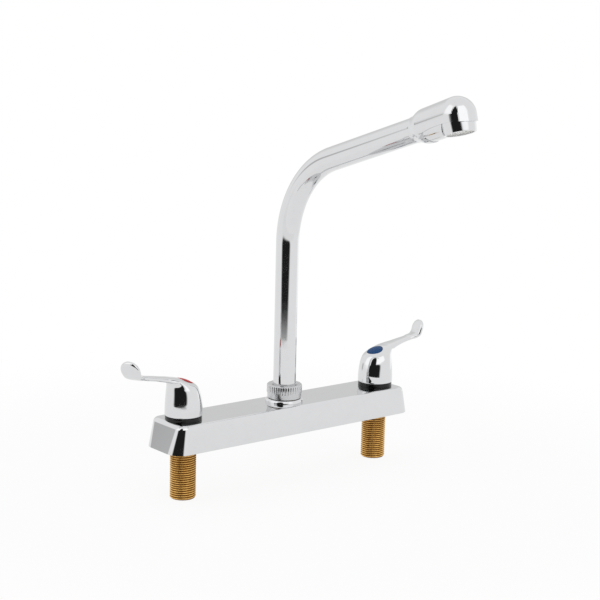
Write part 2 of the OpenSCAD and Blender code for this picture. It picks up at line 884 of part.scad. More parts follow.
// Screw that holds the handle on the spindle, with a cross slot
module handle_screw(side) {
    slot_w = screw_d / 4;
    at_inlet(side)
        difference() {
            union() {
                translate([0, 0, screw_seat_z])
                    cylinder(d = screw_head_d, h = screw_head_h);
                translate([0, 0, spindle_top_z - screw_grip + pass_gap])
                    cylinder(d = screw_d, h = screw_seat_z - spindle_top_z + screw_grip);
            }
            for (turn = [0, 90])
                rotate([0, 0, turn])
                    translate([-screw_d / 2, -slot_w / 2, screw_top_z - screw_head_h / 2])
                        cube([screw_d, slot_w, screw_head_h]);
        }
}

module hot_handle_screw() {
    color("silver") handle_screw(hot);
}

module cold_handle_screw() {
    color("silver") handle_screw(cold);
}

// Index button: a plug whose face is a shallow crown
module index_button(side) {
    r = button_d / 2;
    crown_r = (r * r + button_crown * button_crown) / (2 * button_crown);
    at_inlet(side)
        on_button_face()
            intersection() {
                translate([0, 0, -button_t])
                    cylinder(r = r, h = button_t + button_crown);
                translate([0, 0, button_crown - crown_r])
                    sphere(r = crown_r, $fn = 4 * $fn);
            }
}

module hot_index_button() {
    color("crimson") index_button(hot);
}

module cold_index_button() {
    color([0.1, 0.25, 0.55]) index_button(cold);
}

// The ribbed outline of the nut's upper part
module rib_outline() {
    steps = 2 * nut_ribs;
    r = nut_d / 2;
    polygon([for (k = [0 : steps - 1], half = [-1, 1])
        let (q = 360 * (k + half / 5) / steps,
             d = k % 2 == 0 ? r : r - nut_rib_depth)
        [d * cos(q), d * sin(q)]]);
}

// Spout nut: smooth band below, ribs above, and a bevel round the tube
module spout_nut() {
    hole_r = tube_r + pass_gap;
    bevel = nut_top_t / 2;
    rib_z = nut_z + nut_band_h;
    color("silver")
        difference() {
            union() {
                translate([0, 0, nut_z])
                    cylinder(d = nut_band_d, h = nut_h - bevel);
                intersection() {
                    translate([0, 0, rib_z])
                        linear_extrude(height = nut_h - nut_band_h)
                            rib_outline();
                    translate([0, 0, rib_z]) {
                        cylinder(d = nut_d, h = nut_h - nut_band_h - bevel / 2);
                        translate([0, 0, nut_h - nut_band_h - bevel / 2])
                            cylinder(r1 = nut_d / 2, r2 = nut_d / 2 - bevel / 2, h = bevel / 2);
                    }
                }
            }
            translate([0, 0, nut_z - over])
                cylinder(r = post_d / 2 + seat_gap, h = nut_ceiling_z - nut_z + over);
            translate([0, 0, nut_z])
                cylinder(r = hole_r, h = nut_h + over);
            translate([0, 0, nut_top_z - bevel])
                cylinder(r1 = hole_r, r2 = nut_bevel_d / 2, h = bevel);
        }
}

// Spout tube: riser, bend and arm in one bore, with the split ring's groove near its foot
module spout_tube() {
    color("lightgray")
        difference() {
            bent_rod(tube_r, 0);
            bent_rod(tube_r - tube_wall, over);
            translate([0, 0, split_ring_z - seat_gap])
                ring(tube_d, tube_r - split_groove, split_ring_t + 2 * seat_gap);
        }
}

// A round rod along the spout's centre line, made longer at both ends
module bent_rod(r, longer) {
    translate([0, 0, tube_foot_z - longer])
        cylinder(r = r, h = riser_top_z - tube_foot_z + longer);
    translate([0, -bend_r, riser_top_z])
        rotate([90, 0, 90])
            rotate_extrude(angle = bend_turn)
                translate([bend_r, 0])
                    circle(r = r);
    along_arm()
        cylinder(r = r, h = socket_end_z - seat_gap + longer);
}

// Puts a piece on the arm: its z runs along the arm from the end of the bend, and its y is up
module along_arm() {
    translate([0, -bend_r, riser_top_z])
        rotate([bend_turn, 0, 0])
            translate([0, bend_r, 0])
                children();
}

// Puts a piece on the outlet: its z runs up along the outlet's axis from the middle of the arm
module on_outlet() {
    along_arm()
        translate([0, 0, arm_l])
            rotate([-90, 0, 0])
                children();
}

// Split ring: sits in the tube's groove and carries the spout on the post
module spout_split_ring() {
    color("gainsboro")
        translate([0, 0, split_ring_z])
            difference() {
                ring(split_ring_d / 2, tube_r - split_groove + seat_gap, split_ring_t);
                translate([-split_gap_w / 2, 0, -over])
                    cube([split_gap_w, split_ring_d, split_ring_t + 2 * over]);
            }
}

// Guide bush: plastic sleeve on the tube's foot with two grooves for the O-rings
module spout_guide_bush() {
    color("ivory")
        translate([0, 0, tube_foot_z])
            difference() {
                ring(bush_r, tube_r + seat_gap, bush_h);
                for (s = bush_groove_shares)
                    translate([0, 0, s * bush_h - bush_groove_h / 2])
                        ring(post_bore_d, bush_core_r, bush_groove_h);
            }
}

module spout_seals() {
    color([0.1, 0.1, 0.1])
        for (s = bush_groove_shares)
            translate([0, 0, tube_foot_z + s * bush_h])
                o_ring(bush_core_r, spout_seal_t);
}

// Half the way round a smooth step, for the collar's flare
function flare(t) = (1 - cos(180 * t)) / 2;

// The head's outer form along the arm: flared collar, widening barrel and dome
module head_form() {
    collar_r = tube_r + seat_gap + collar_lip;
    dome_z = arm_l - dome_r * sin(dome_lean);
    rotate_extrude()
        polygon(concat(
            [[0, head_z]],
            [for (k = [0 : flare_steps])
                [blend(collar_r, head_d / 2, flare(k / flare_steps)),
                 head_z + flare_l * k / flare_steps]],
            [[dome_r * cos(dome_lean), dome_z], [0, dome_z]]));
    translate([0, 0, arm_l])
        sphere(d = dome_d);
}

// The hood's lower part, a short skirt around the outlet's axis
module hood_skirt() {
    translate([0, 0, arm_l])
        rotate([90, 0, 0])
            cylinder(r1 = dome_r, r2 = hood_r, h = head_d / 2);
}

// Side view of what lies under the curved edge of the hood, from the nose of the set back part
module under_hood_outline() {
    nose_z = arm_l - belly_l;
    far = arm_l + head_d;
    intersection() {
        polygon([
            [nose_z, -hood_edge_drop - nose_drop],
            [nose_z + nose_l, -hood_edge_drop],
            [nose_z + nose_l, 0],
            [far, 0],
            [far, -head_d],
            [nose_z + nose_l, -head_d],
            [nose_z + nose_l, -hood_edge_drop - 2 * nose_drop]
        ]);
        translate([arm_l - hood_edge_back, -hood_edge_drop - hood_edge_r])
            circle(r = hood_edge_r, $fn = 180);
    }
}

module under_hood() {
    rotate([0, -90, 0])
        linear_extrude(height = 2 * head_d, center = true)
            under_hood_outline();
}

// The part that is set back under the hood
module head_belly() {
    translate([0, -belly_drop, flare_end_z])
        cylinder(d = belly_d, h = head_l - flare_l);
}

module spout_head() {
    color("lightgray")
        along_arm()
            difference() {
                union() {
                    difference() {
                        union() {
                            head_form();
                            hood_skirt();
                        }
                        under_hood();
                    }
                    head_belly();
                }
                translate([0, 0, head_z - over])
                    cylinder(r = tube_r + seat_gap, h = tube_socket + over);
                translate([0, 0, head_seal_z - head_seal_t / 2 - seat_gap])
                    cylinder(r = tube_r + head_seal_t, h = head_seal_t + 2 * seat_gap);
                translate([0, 0, head_z])
                    cylinder(r = outlet_bore_r, h = head_l);
                translate([0, 0, arm_l])
                    rotate([90, 0, 0]) {
                        cylinder(r = outlet_bore_r, h = head_d);
                        translate([0, 0, -sleeve_top_y - sleeve_thread_h - washer_t])
                            cylinder(r = sleeve_thread_d / 2 + seat_gap, h = head_d);
                        translate([0, 0, hood_edge_drop])
                            cylinder(r = sleeve_pocket_r, h = head_d);
                    }
            }
}

module head_seal() {
    color([0.1, 0.1, 0.1])
        along_arm()
            translate([0, 0, head_seal_z])
                o_ring(tube_r, head_seal_t);
}

// Aerator sleeve: tapered outside, threaded above, open below
module aerator_shell() {
    color("lightgray")
        on_outlet()
            rotate_extrude()
                polygon([
                    [outlet_bore_r, sleeve_top_y + sleeve_thread_h],
                    [outlet_bore_r, sleeve_top_y],
                    [insert_r + seat_gap, sleeve_top_y - sleeve_wall],
                    [insert_r + seat_gap, sleeve_rim_y],
                    [sleeve_rim_d / 2, sleeve_rim_y],
                    [sleeve_d / 2, sleeve_top_y],
                    [sleeve_thread_d / 2, sleeve_top_y],
                    [sleeve_thread_d / 2, sleeve_top_y + sleeve_thread_h]
                ]);
}

module aerator_washer() {
    color("dimgray")
        on_outlet()
            translate([0, 0, washer_y])
                ring(sleeve_thread_d / 2, outlet_bore_r, washer_t);
}

// A flat grille of rings joined by spokes
module grille(outer_r, bar_w, rings, spokes) {
    for (k = [1 : rings])
        difference() {
            circle(r = outer_r * k / rings);
            circle(r = outer_r * k / rings - bar_w);
        }
    for (k = [0 : spokes - 1])
        rotate([0, 0, 360 * k / spokes])
            translate([0, -bar_w / 2])
                square([outer_r - bar_w / 2, bar_w]);
}

// Aerator insert: plastic body with slots that mix air into the water
module aerator_insert() {
    color("white")
        on_outlet()
            translate([0, 0, insert_y])
                linear_extrude(height = sleeve_top_y - sleeve_wall - insert_y)
                    grille(insert_r, sleeve_wall, insert_rings, screen_spokes);
}

module aerator_screen() {
    color("white")
        on_outlet()
            translate([0, 0, screen_y])
                linear_extrude(height = screen_t)
                    grille(insert_r, screen_bar_w, screen_rings, screen_spokes);
}

deck_cover();
hot_shank();
cold_shank();
hot_valve_body();
cold_valve_body();
hot_cross_tube();
cold_cross_tube();
spout_post();
hot_cover_nut();
cold_cover_nut();
hot_hub_ring();
cold_hub_ring();
hot_bonnet();
cold_bonnet();
hot_seat_seal();
cold_seat_seal();
hot_fixed_disc();
cold_fixed_disc();
hot_moving_disc();
cold_moving_disc();
hot_spindle();
cold_spindle();
hot_spindle_seal();
cold_spindle_seal();
hot_handle();
cold_handle();
hot_handle_screw();
cold_handle_screw();
hot_index_button();
cold_index_button();
spout_nut();
spout_tube();
spout_split_ring();
spout_guide_bush();
spout_seals();
spout_head();
head_seal();
aerator_shell();
aerator_washer();
aerator_insert();
aerator_screen();
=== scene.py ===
"""Looks of a deck mounted kitchen mixer tap: its surfaces, its finishes and the studio round it."""

import logging
import math
from dataclasses import dataclass, field
from enum import Enum

import bpy
import numpy as np
from mathutils import Matrix, Vector


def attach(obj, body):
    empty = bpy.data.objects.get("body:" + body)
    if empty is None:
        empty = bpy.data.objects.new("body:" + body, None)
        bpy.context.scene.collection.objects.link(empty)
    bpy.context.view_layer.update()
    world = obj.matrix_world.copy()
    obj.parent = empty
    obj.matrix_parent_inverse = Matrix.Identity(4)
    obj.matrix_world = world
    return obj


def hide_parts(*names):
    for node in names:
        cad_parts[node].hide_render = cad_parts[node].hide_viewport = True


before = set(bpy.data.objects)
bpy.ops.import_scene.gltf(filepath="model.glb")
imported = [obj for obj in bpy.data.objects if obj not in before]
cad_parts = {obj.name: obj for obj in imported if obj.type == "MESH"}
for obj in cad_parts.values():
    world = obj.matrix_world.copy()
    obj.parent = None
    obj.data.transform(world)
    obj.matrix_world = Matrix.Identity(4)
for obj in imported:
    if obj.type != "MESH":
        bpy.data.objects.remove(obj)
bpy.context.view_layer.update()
log = logging.getLogger("tap")

MM = 0.001  # A millimetre in metres.
ROUND = 160  # Points round a turned form.
Rows = tuple[tuple[float, ...], ...]


class Body(Enum):
    """The bodies of the tap, as its joints name them."""

    DECK = "deck"
    SPOUT = "spout"
    HOT_LEVER = "hot_lever"
    COLD_LEVER = "cold_lever"


class Side(Enum):
    """The two sides of the tap, and the direction in which each one lies."""

    HOT = -1
    COLD = 1

    @property
    def lever(self) -> Body:
        """The body that this side's lever turns with."""
        return Body.HOT_LEVER if self is Side.HOT else Body.COLD_LEVER


class Edge(Enum):
    """How far neighbouring faces may turn before the edge between them looks sharp."""

    SOFT = 50
    CRISP = 30


class Wire:
    """A value that runs through a shader, and that takes part in sums like a number."""

    def __init__(self, paint: "Paint", socket: bpy.types.NodeSocket) -> None:
        """Keeps the socket and the paint that it belongs to."""
        self.paint = paint
        self.socket = socket

    def _sum(self, operation: str, *parts: "Wire | float") -> "Wire":
        """Adds one Math node that works on the parts."""
        return self.paint.node("ShaderNodeMath", {"operation": operation}, dict(enumerate(parts)))

    def __add__(self, other: "Wire | float") -> "Wire":
        """This value plus another."""
        return self._sum("ADD", self, other)

    def __radd__(self, other: float) -> "Wire":
        """A number plus this value."""
        return self._sum("ADD", other, self)

    def __sub__(self, other: "Wire | float") -> "Wire":
        """This value less another."""
        return self._sum("SUBTRACT", self, other)

    def __rsub__(self, other: float) -> "Wire":
        """A number less this value."""
        return self._sum("SUBTRACT", other, self)

    def __mul__(self, other: "Wire | float") -> "Wire":
        """This value times another."""
        return self._sum("MULTIPLY", self, other)

    def __rmul__(self, other: float) -> "Wire":
        """A number times this value."""
        return self._sum("MULTIPLY", other, self)

    def __truediv__(self, other: "Wire | float") -> "Wire":
        """This value over another."""
        return self._sum("DIVIDE", self, other)

    def __pow__(self, power: float) -> "Wire":
        """This value to a power."""
        return self._sum("POWER", self, power)

    def root(self) -> "Wire":
        """The square root of this value."""
        return self._sum("SQRT", self)

    def size(self) -> "Wire":
        """This value without its sign."""
        return self._sum("ABSOLUTE", self)

    def angle_from(self, run: "Wire") -> "Wire":
        """The angle whose rise is this value and whose run is another."""
        return self._sum("ARCTAN2", self, run)

    def rise(self, low: float, high: float) -> "Wire":
        """A smooth step: t times t times (3 less 2 t), where t is the share of the way up.

        Args:
            low: Where the step still is 0.
            high: Where it has become 1.

        Returns:
            The step.
        """
        settings = {"interpolation_type": "SMOOTHSTEP"}
        places = {"Value": self, "From Min": low, "From Max": high, "To Min": 0.0, "To Max": 1.0}
        return self.paint.node("ShaderNodeMapRange", settings, places)


class Paint:
    """The nodes of one material or of the world."""

    def __init__(self, owner: bpy.types.Material | bpy.types.World) -> None:
        """Starts with the owner's tree and no nodes in it.

        Args:
            owner: The material or world that the nodes are for.
        """
        owner.use_nodes = True
        self.tree = owner.node_tree
        self.tree.nodes.clear()

    def add(self, kind: str, settings: dict | None = None,
            inputs: dict | None = None) -> bpy.types.Node:
        """Adds one node.

        Args:
            kind: The node's type.
            settings: Properties of the node, set first.
            inputs: Numbers, colours or wires for its sockets, by name or by place.

        Returns:
            The node.
        """
        node = self.tree.nodes.new(kind)
        for name, value in (settings or {}).items():
            setattr(node, name, value)
        for name, value in (inputs or {}).items():
            if isinstance(value, Wire):
                self.tree.links.new(value.socket, node.inputs[name])
            else:
                node.inputs[name].default_value = value
        return node

    def node(self, kind: str, settings: dict | None = None, inputs: dict | None = None,
             output: str | int = 0) -> Wire:
        """Adds one node and returns one of its outputs as a wire."""
        return Wire(self, self.add(kind, settings, inputs).outputs[output])

    def place(self) -> Wire:
        """The place on the object, in metres."""
        return self.node("ShaderNodeTexCoord", output="Object")

    def parts(self, vector: Wire) -> tuple[Wire, Wire, Wire]:
        """The three parts of a vector."""
        split = self.add("ShaderNodeSeparateXYZ", inputs={0: vector})
        return tuple(Wire(self, split.outputs[k]) for k in range(3))

    def stretched(self, vector: Wire, scale: tuple[float, float, float]) -> Wire:
        """A vector with each part multiplied."""
        return self.node("ShaderNodeVectorMath", {"operation": "MULTIPLY"}, {0: vector, 1: scale})

    def noise(self, place: Wire, grain_mm: float, detail: float = 3.0) -> Wire:
        """Cloudy noise from 0 to 1.

        Args:
            place: Where it is read, in metres.
            grain_mm: The size of one cloud.
            detail: How much finer noise lies in it.

        Returns:
            The noise.
        """
        inputs = {"Vector": place, "Scale": 1 / (grain_mm * MM), "Detail": detail}
        return self.node("ShaderNodeTexNoise", inputs=inputs)

    def mix(self, share: Wire | float, low: "Wire | tuple", high: "Wire | tuple") -> Wire:
        """A colour between two others, on the sockets that the node keeps for colours."""
        inputs = {0: share, 6: low, 7: high}
        return self.node("ShaderNodeMix", {"data_type": "RGBA"}, inputs, output=2)

    def bump(self, height: Wire, deep_mm: float) -> Wire:
        """A surface normal bent by a height from 0 to 1 that stands for a real depth."""
        inputs = {"Height": height, "Distance": deep_mm * MM, "Strength": 1.0}
        return self.node("ShaderNodeBump", inputs=inputs)


Looks = dict[str, Wire | tuple | float]


def rgb(red: float, green: float, blue: float) -> tuple[float, float, float, float]:
    """A colour as a shader's socket takes it."""
    return (red, green, blue, 1.0)


@dataclass(frozen=True)
class Finish:
    """A finish of the tap: what its pieces are made of and how their surface looks."""

    name: str
    slot: str
    colour: tuple[float, float, float]
    roughness: float
    metallic: float = 0.0
    shine: float = 0.5

    def material(self) -> bpy.types.Material:
        """The finish as a material, made at its first use.

        Returns:
            The material.
        """
        known = bpy.data.materials.get(self.name)
        if known is not None:
            return known
        material = bpy.data.materials.new(self.name)
        paint = Paint(material)
        looks = {"Base Color": rgb(*self.colour), "Roughness": self.roughness,
                 "Metallic": self.metallic, "Specular IOR Level": self.shine}
        looks.update(self.dress(paint))
        shader = paint.node("ShaderNodeBsdfPrincipled", inputs=looks)
        paint.add("ShaderNodeOutputMaterial", inputs={"Surface": shader})
        material.diffuse_color = rgb(*self.colour)
        return material

    def dress(self, paint: Paint) -> Looks:
        """What varies over the surface, by the names of the shader's sockets."""
        raise NotImplementedError

    def shades(self, darker: float, lighter: float) -> tuple:
        """The finish's colour made darker and made lighter."""
        return tuple(rgb(*(c * k for c in self.colour)) for k in (darker, lighter))


@dataclass(frozen=True)
class PolishedPlate(Finish):
    """Bright plating over a buffed casting: faint clouds of haze and a barely uneven surface."""

    haze_mm: float = 9.0
    haze_range: tuple[float, float] = (0.35, 0.75)
    haze_shade: float = 0.985
    haze_dulls: float = 0.035
    wave_mm: float = 16.0
    wave_deep_mm: float = 0.004

    def dress(self, paint: Paint) -> Looks:
        """Haze drifts in soft clouds, and the buffed metal waves a few microns.

        Args:
            paint: The material's nodes.

        Returns:
            What varies, by the names of the shader's sockets.
        """
        place = paint.place()
        haze = paint.noise(place, self.haze_mm).rise(*self.haze_range)
        wave = paint.noise(place, self.wave_mm, detail=1.0)
        low, high = self.shades(self.haze_shade, 1.0)
        return {"Base Color": paint.mix(haze, high, low),
                "Roughness": self.roughness + self.haze_dulls * haze,
                "Normal": paint.bump(wave, self.wave_deep_mm)}


@dataclass(frozen=True)
class CutBrass(Finish):
    """Brass as a thread die leaves it: fine turning lines, with brown film in patches."""

    film: tuple[float, float, float] = (0.30, 0.17, 0.05)
    film_mm: float = 3.5
    film_range: tuple[float, float] = (0.38, 0.7)
    film_share: float = 0.3
    film_dulls: float = 0.08
    around: tuple[float, float, float] = (0.15, 0.15, 1.0)
    line_mm: float = 0.25
    line_deep_mm: float = 0.004

    def dress(self, paint: Paint) -> Looks:
        """Film lies in clouds, and turning lines run round the upright.

        Args:
            paint: The material's nodes.

        Returns:
            What varies, by the names of the shader's sockets.
        """
        place = paint.place()
        film = paint.noise(place, self.film_mm, detail=5.0).rise(*self.film_range)
        lines = paint.noise(paint.stretched(place, self.around), self.line_mm, detail=2.0)
        shade = paint.mix(self.film_share * film, rgb(*self.colour), rgb(*self.film))
        return {"Base Color": shade,
                "Roughness": self.roughness + self.film_dulls * film,
                "Normal": paint.bump(lines, self.line_deep_mm)}


@dataclass(frozen=True)
class ThreadedBrass(CutBrass):
    """Brass with a thread cut in it, with painted shade in the valleys, darker the deeper they lie.
    """

    axis_mm: float = 101.6
    crest_mm: float = 10.48
    deep_mm: float = 1.05
    # valley: the colour of the painted shade at the thread's roots.
    valley: tuple[float, float, float] = (0.25, 0.12, 0.035)
    full_shade_share: float = 0.8
    unshaded_share: float = 0.1

    def dress(self, paint: Paint) -> Looks:
        """Painted shade: the brass is darker the deeper it lies, by its distance from the thread's
        own axis.

        Args:
            paint: The material's nodes.

        Returns:
            What varies, by the names of the shader's sockets.
        """
        looks = super().dress(paint)
        x, y, _ = paint.parts(paint.place())
        aside = x.size() - self.axis_mm * MM
        out = (aside * aside + y * y).root()
        # Painted shade: the colour turns to the valley's from the crest down towards the root.
        crest = out.rise((self.crest_mm - self.full_shade_share * self.deep_mm) * MM,
                         (self.crest_mm - self.unshaded_share * self.deep_mm) * MM)
        looks["Base Color"] = paint.mix(crest, rgb(*self.valley), looks["Base Color"])
        return looks


@dataclass(frozen=True)
class CastBrass(Finish):
    """Brass body as forged and blasted: an even grain, with darker scale in patches."""

    grain_mm: float = 0.5
    grain_dulls: float = 0.12
    grain_deep_mm: float = 0.06
    scale_mm: float = 7.0
    scale_shades: tuple[float, float] = (0.75, 1.05)

    def dress(self, paint: Paint) -> Looks:
        """A grain of blasting over slow changes of colour.

        Args:
            paint: The material's nodes.

        Returns:
            What varies, by the names of the shader's sockets.
        """
        place = paint.place()
        grain = paint.noise(place, self.grain_mm, detail=4.0)
        scale = paint.noise(place, self.scale_mm)
        low, high = self.shades(*self.scale_shades)
        return {"Base Color": paint.mix(scale, low, high),
                "Roughness": self.roughness + self.grain_dulls * grain,
                "Normal": paint.bump(grain, self.grain_deep_mm)}


@dataclass(frozen=True)
class DrawnMetal(Finish):
    """Drawn copper or pressed steel: fine lines along the draw, and a slight stain."""

    along: tuple[float, float, float] = (0.05, 1.0, 1.0)
    line_mm: float = 0.3
    line_dulls: float = 0.12
    line_deep_mm: float = 0.008
    stain_mm: float = 12.0
    stain_shades: tuple[float, float] = (0.82, 1.03)

    def dress(self, paint: Paint) -> Looks:
        """Noise stretched along the draw makes the lines.

        Args:
            paint: The material's nodes.

        Returns:
            What varies, by the names of the shader's sockets.
        """
        place = paint.place()
        lines = paint.noise(paint.stretched(place, self.along), self.line_mm)
        stain = paint.noise(place, self.stain_mm)
        low, high = self.shades(*self.stain_shades)
        return {"Base Color": paint.mix(stain, low, high),
                "Roughness": self.roughness + self.line_dulls * lines,
                "Normal": paint.bump(lines, self.line_deep_mm)}


@dataclass(frozen=True)
class MouldedPart(Finish):
    """Moulded plastic or rubber: a faint orange peel and slow changes of gloss and shade."""

    peel_mm: float = 0.9
    peel_deep_mm: float = 0.004
    cloud_mm: float = 6.0
    cloud_dulls: float = 0.06
    spread: float = 0.08

    def dress(self, paint: Paint) -> Looks:
        """Orange peel in the normal, and clouds in colour and gloss.

        Args:
            paint: The material's nodes.

        Returns:
            What varies, by the names of the shader's sockets.
        """
        place = paint.place()
        peel = paint.noise(place, self.peel_mm, detail=2.0)
        cloud = paint.noise(place, self.cloud_mm)
        low, high = self.shades(1 - self.spread, 1 + self.spread)
        return {"Base Color": paint.mix(cloud, low, high),
                "Roughness": self.roughness + self.cloud_dulls * cloud,
                "Normal": paint.bump(peel, self.peel_deep_mm)}


@dataclass(frozen=True)
class FiredCeramic(Finish):
    """Lapped ceramic: dense and even, with a trace of fine speckle."""

    speck_mm: float = 0.25
    speck_range: tuple[float, float] = (0.6, 0.75)
    speck_shade: float = 0.9
    speck_dulls: float = 0.05

    def dress(self, paint: Paint) -> Looks:
        """Specks a little darker than the body.

        Args:
            paint: The material's nodes.

        Returns:
            What varies, by the names of the shader's sockets.
        """
        specks = paint.noise(paint.place(), self.speck_mm, detail=1.0).rise(*self.speck_range)
        low, high = self.shades(self.speck_shade, 1.0)
        return {"Base Color": paint.mix(specks, high, low),
                "Roughness": self.roughness + self.speck_dulls * specks}


CHROME = PolishedPlate("polished_chrome", "chrome", (0.70, 0.704, 0.712), 0.035, 1.0)
NUT_CHROME = PolishedPlate("turned_chrome", "chrome", (0.57, 0.574, 0.582), 0.2, 1.0)
THREAD_BRASS = ThreadedBrass("cut_brass", "brass", (0.90, 0.575, 0.176), 0.24, 1.0)
TURNED_BRASS = CutBrass("turned_brass", "brass", (0.70, 0.50, 0.20), 0.25, 1.0)
BODY_BRASS = CastBrass("blasted_brass", "raw_brass", (0.62, 0.46, 0.22), 0.42, 1.0)
COPPER = DrawnMetal("drawn_copper", "copper", (0.72, 0.42, 0.28), 0.22, 1.0)
STEEL = DrawnMetal("stainless_steel", "steel", (0.60, 0.60, 0.61), 0.24, 1.0, along=(1.0, 1.0, 0.1))
# Gloss black of the trim ring, which also stands in for painted shade in the gap under each hub.
BLACK_AND_GAP_SHADE = MouldedPart("gloss_black_and_gap_shade", "black_trim", (0.004, 0.004, 0.0045), 0.1, shine=0.3)
RED = MouldedPart("index_red", "red_index", (0.50, 0.015, 0.018), 0.4, shine=0.15)
BLUE = MouldedPart("index_blue", "blue_index", (0.006, 0.06, 0.19), 0.4, shine=0.15)
WHITE = MouldedPart("white_acetal", "white_plastic", (0.82, 0.82, 0.80), 0.35)
RUBBER = MouldedPart("moulded_rubber", "seal", (0.022, 0.022, 0.023), 0.6, peel_deep_mm=0.01)
CERAMIC = FiredCeramic("lapped_ceramic", "ceramic", (0.86, 0.85, 0.82), 0.12)


def round_angles(count: int) -> np.ndarray:
    """Angles evenly spaced round a full turn, in radians, as one row."""
    return np.linspace(0, 2 * np.pi, count, endpoint=False)[None]


def arc(middle: tuple[float, float], radius: float, start: float, end: float,
        steps: int = 8) -> list[tuple[float, float]]:
    """Points on a circle's arc in a plane.

    Args:
        middle: The circle's middle.
        radius: Its radius.
        start: The angle of the first point, in degrees.
        end: The angle of the last point, in degrees.
        steps: The number of steps between them.

    Returns:
        The points in order.
    """
    angles = np.radians(np.linspace(start, end, steps + 1))
    return [(middle[0] + radius * math.cos(a), middle[1] + radius * math.sin(a)) for a in angles]


def revolved(profile: list[tuple[float, float]], count: int = ROUND) -> np.ndarray:
    """Turns a profile round +Z: x is r times cos a, y is r times sin a, and z is the height.

    Args:
        profile: Pairs of radius and height.
        count: The number of points round.

    Returns:
        The grid, with a row for each pair.
    """
    r, z = np.array(profile, float).T[:, :, None]
    a = round_angles(count)
    return np.stack([r * np.cos(a), r * np.sin(a), z + 0 * a], axis=-1)


class Skin:
    """A mesh put together from grids of points."""

    def __init__(self) -> None:
        """Starts empty."""
        self.points: list[np.ndarray] = []
        self.faces: list[list[int]] = []
        self.count = 0

    def add(self, grid: np.ndarray, ring: bool = False, caps: bool = False) -> "Skin":
        """Adds the faces between neighbouring rows of a grid whose rows are closed rings.

        Args:
            grid: Points in millimetres, rows by points round by 3.
            ring: Whether the last row joins the first one.
            caps: Whether the first and the last row are closed by a flat face.

        Returns:
            This skin.
        """
        rows, columns, _ = grid.shape
        index = self.count + np.arange(rows * columns).reshape(rows, columns)
        low = index if ring else index[:-1]
        high = np.roll(index, -1, axis=0) if ring else index[1:]
        quads = np.stack([low, np.roll(low, -1, axis=1), np.roll(high, -1, axis=1), high], axis=-1)
        self.faces += quads.reshape(-1, 4).tolist()
        if caps:
            self.faces += [index[0, ::-1].tolist(), index[-1].tolist()]
        self.points.append(grid.reshape(-1, 3))
        self.count += rows * columns
        return self

    def volume(self, points: np.ndarray) -> float:
        """The signed volume, six times over: first dot (second cross third), summed.

        The sum runs over the triangles of each face's fan, with the origin as their peak.

        Args:
            points: The skin's points.

        Returns:
            Six times the volume, below 0 where the faces point inwards.
        """
        total = 0.0
        for size in {len(f) for f in self.faces}:
            fans = points[np.array([f for f in self.faces if len(f) == size])]
            first, second, third = fans[:, :1], fans[:, 1:-1], fans[:, 2:]
            total += float((first * np.cross(second, third)).sum())
        return total

    def mesh(self, name: str) -> bpy.types.Mesh:
        """The skin as a mesh in metres, with its faces pointing outwards.

        Args:
            name: The mesh's name.

        Returns:
            The mesh.
        """
        points = np.concatenate(self.points) * MM
        if self.volume(points) < 0:
            self.faces = [f[::-1] for f in self.faces]
        mesh = bpy.data.meshes.new(name)
        mesh.from_pydata(points.tolist(), [], self.faces)
        mesh.update()
        return mesh


def shaded(mesh: bpy.types.Mesh, edge: Edge) -> None:
    """Smooths a mesh, apart from the edges that turn further than the given angle."""
    mesh.polygons.foreach_set("use_smooth", np.ones(len(mesh.polygons), bool))
    mesh.set_sharp_from_angle(angle=math.radians(edge.value))


def piece(name: str, mesh: bpy.types.Mesh, finish: Finish, body: Body,
          stands_for: str, edge: Edge = Edge.CRISP) -> None:
    """Puts a finished mesh into the scene as a piece of the tap.

    Args:
        name: The piece's name.
        mesh: Its mesh, in place.
        finish: What it is made of.
        body: The body that it moves with.
        stands_for: The CAD node that it replaces.
        edge: How it is smoothed.
    """
    shaded(mesh, edge)
    mesh.materials.clear()
    mesh.materials.append(finish.material())
    made = bpy.data.objects.new(name, mesh)
    bpy.context.scene.collection.objects.link(made)
    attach(made, body.value)
    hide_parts(stands_for)
    log.info("%s: %d faces, %s", name, len(mesh.polygons), finish.name)


def carved(mesh: bpy.types.Mesh, cuts: list[bpy.types.Mesh],
           joins: list[bpy.types.Mesh] | None = None) -> bpy.types.Mesh:
    """A mesh joined with some forms and then cut by others.

    Args:
        mesh: The body.
        cuts: Closed forms that are taken away.
        joins: Closed forms that are added first.

    Returns:
        The carved mesh.
    """
    host = bpy.data.objects.new("host", mesh)
    bpy.context.scene.collection.objects.link(host)
    tools = [(m, "UNION") for m in joins or []] + [(m, "DIFFERENCE") for m in cuts]
    helpers = []
    for tool, operation in tools:
        helper = bpy.data.objects.new("helper", tool)
        bpy.context.scene.collection.objects.link(helper)
        step = host.modifiers.new("carve", "BOOLEAN")
        step.operation, step.solver, step.object = operation, "EXACT", helper
        helpers.append(helper)
    depsgraph = bpy.context.evaluated_depsgraph_get()
    result = bpy.data.meshes.new_from_object(host.evaluated_get(depsgraph))
    for used in [host, *helpers]:
        bpy.data.objects.remove(used)
    return result


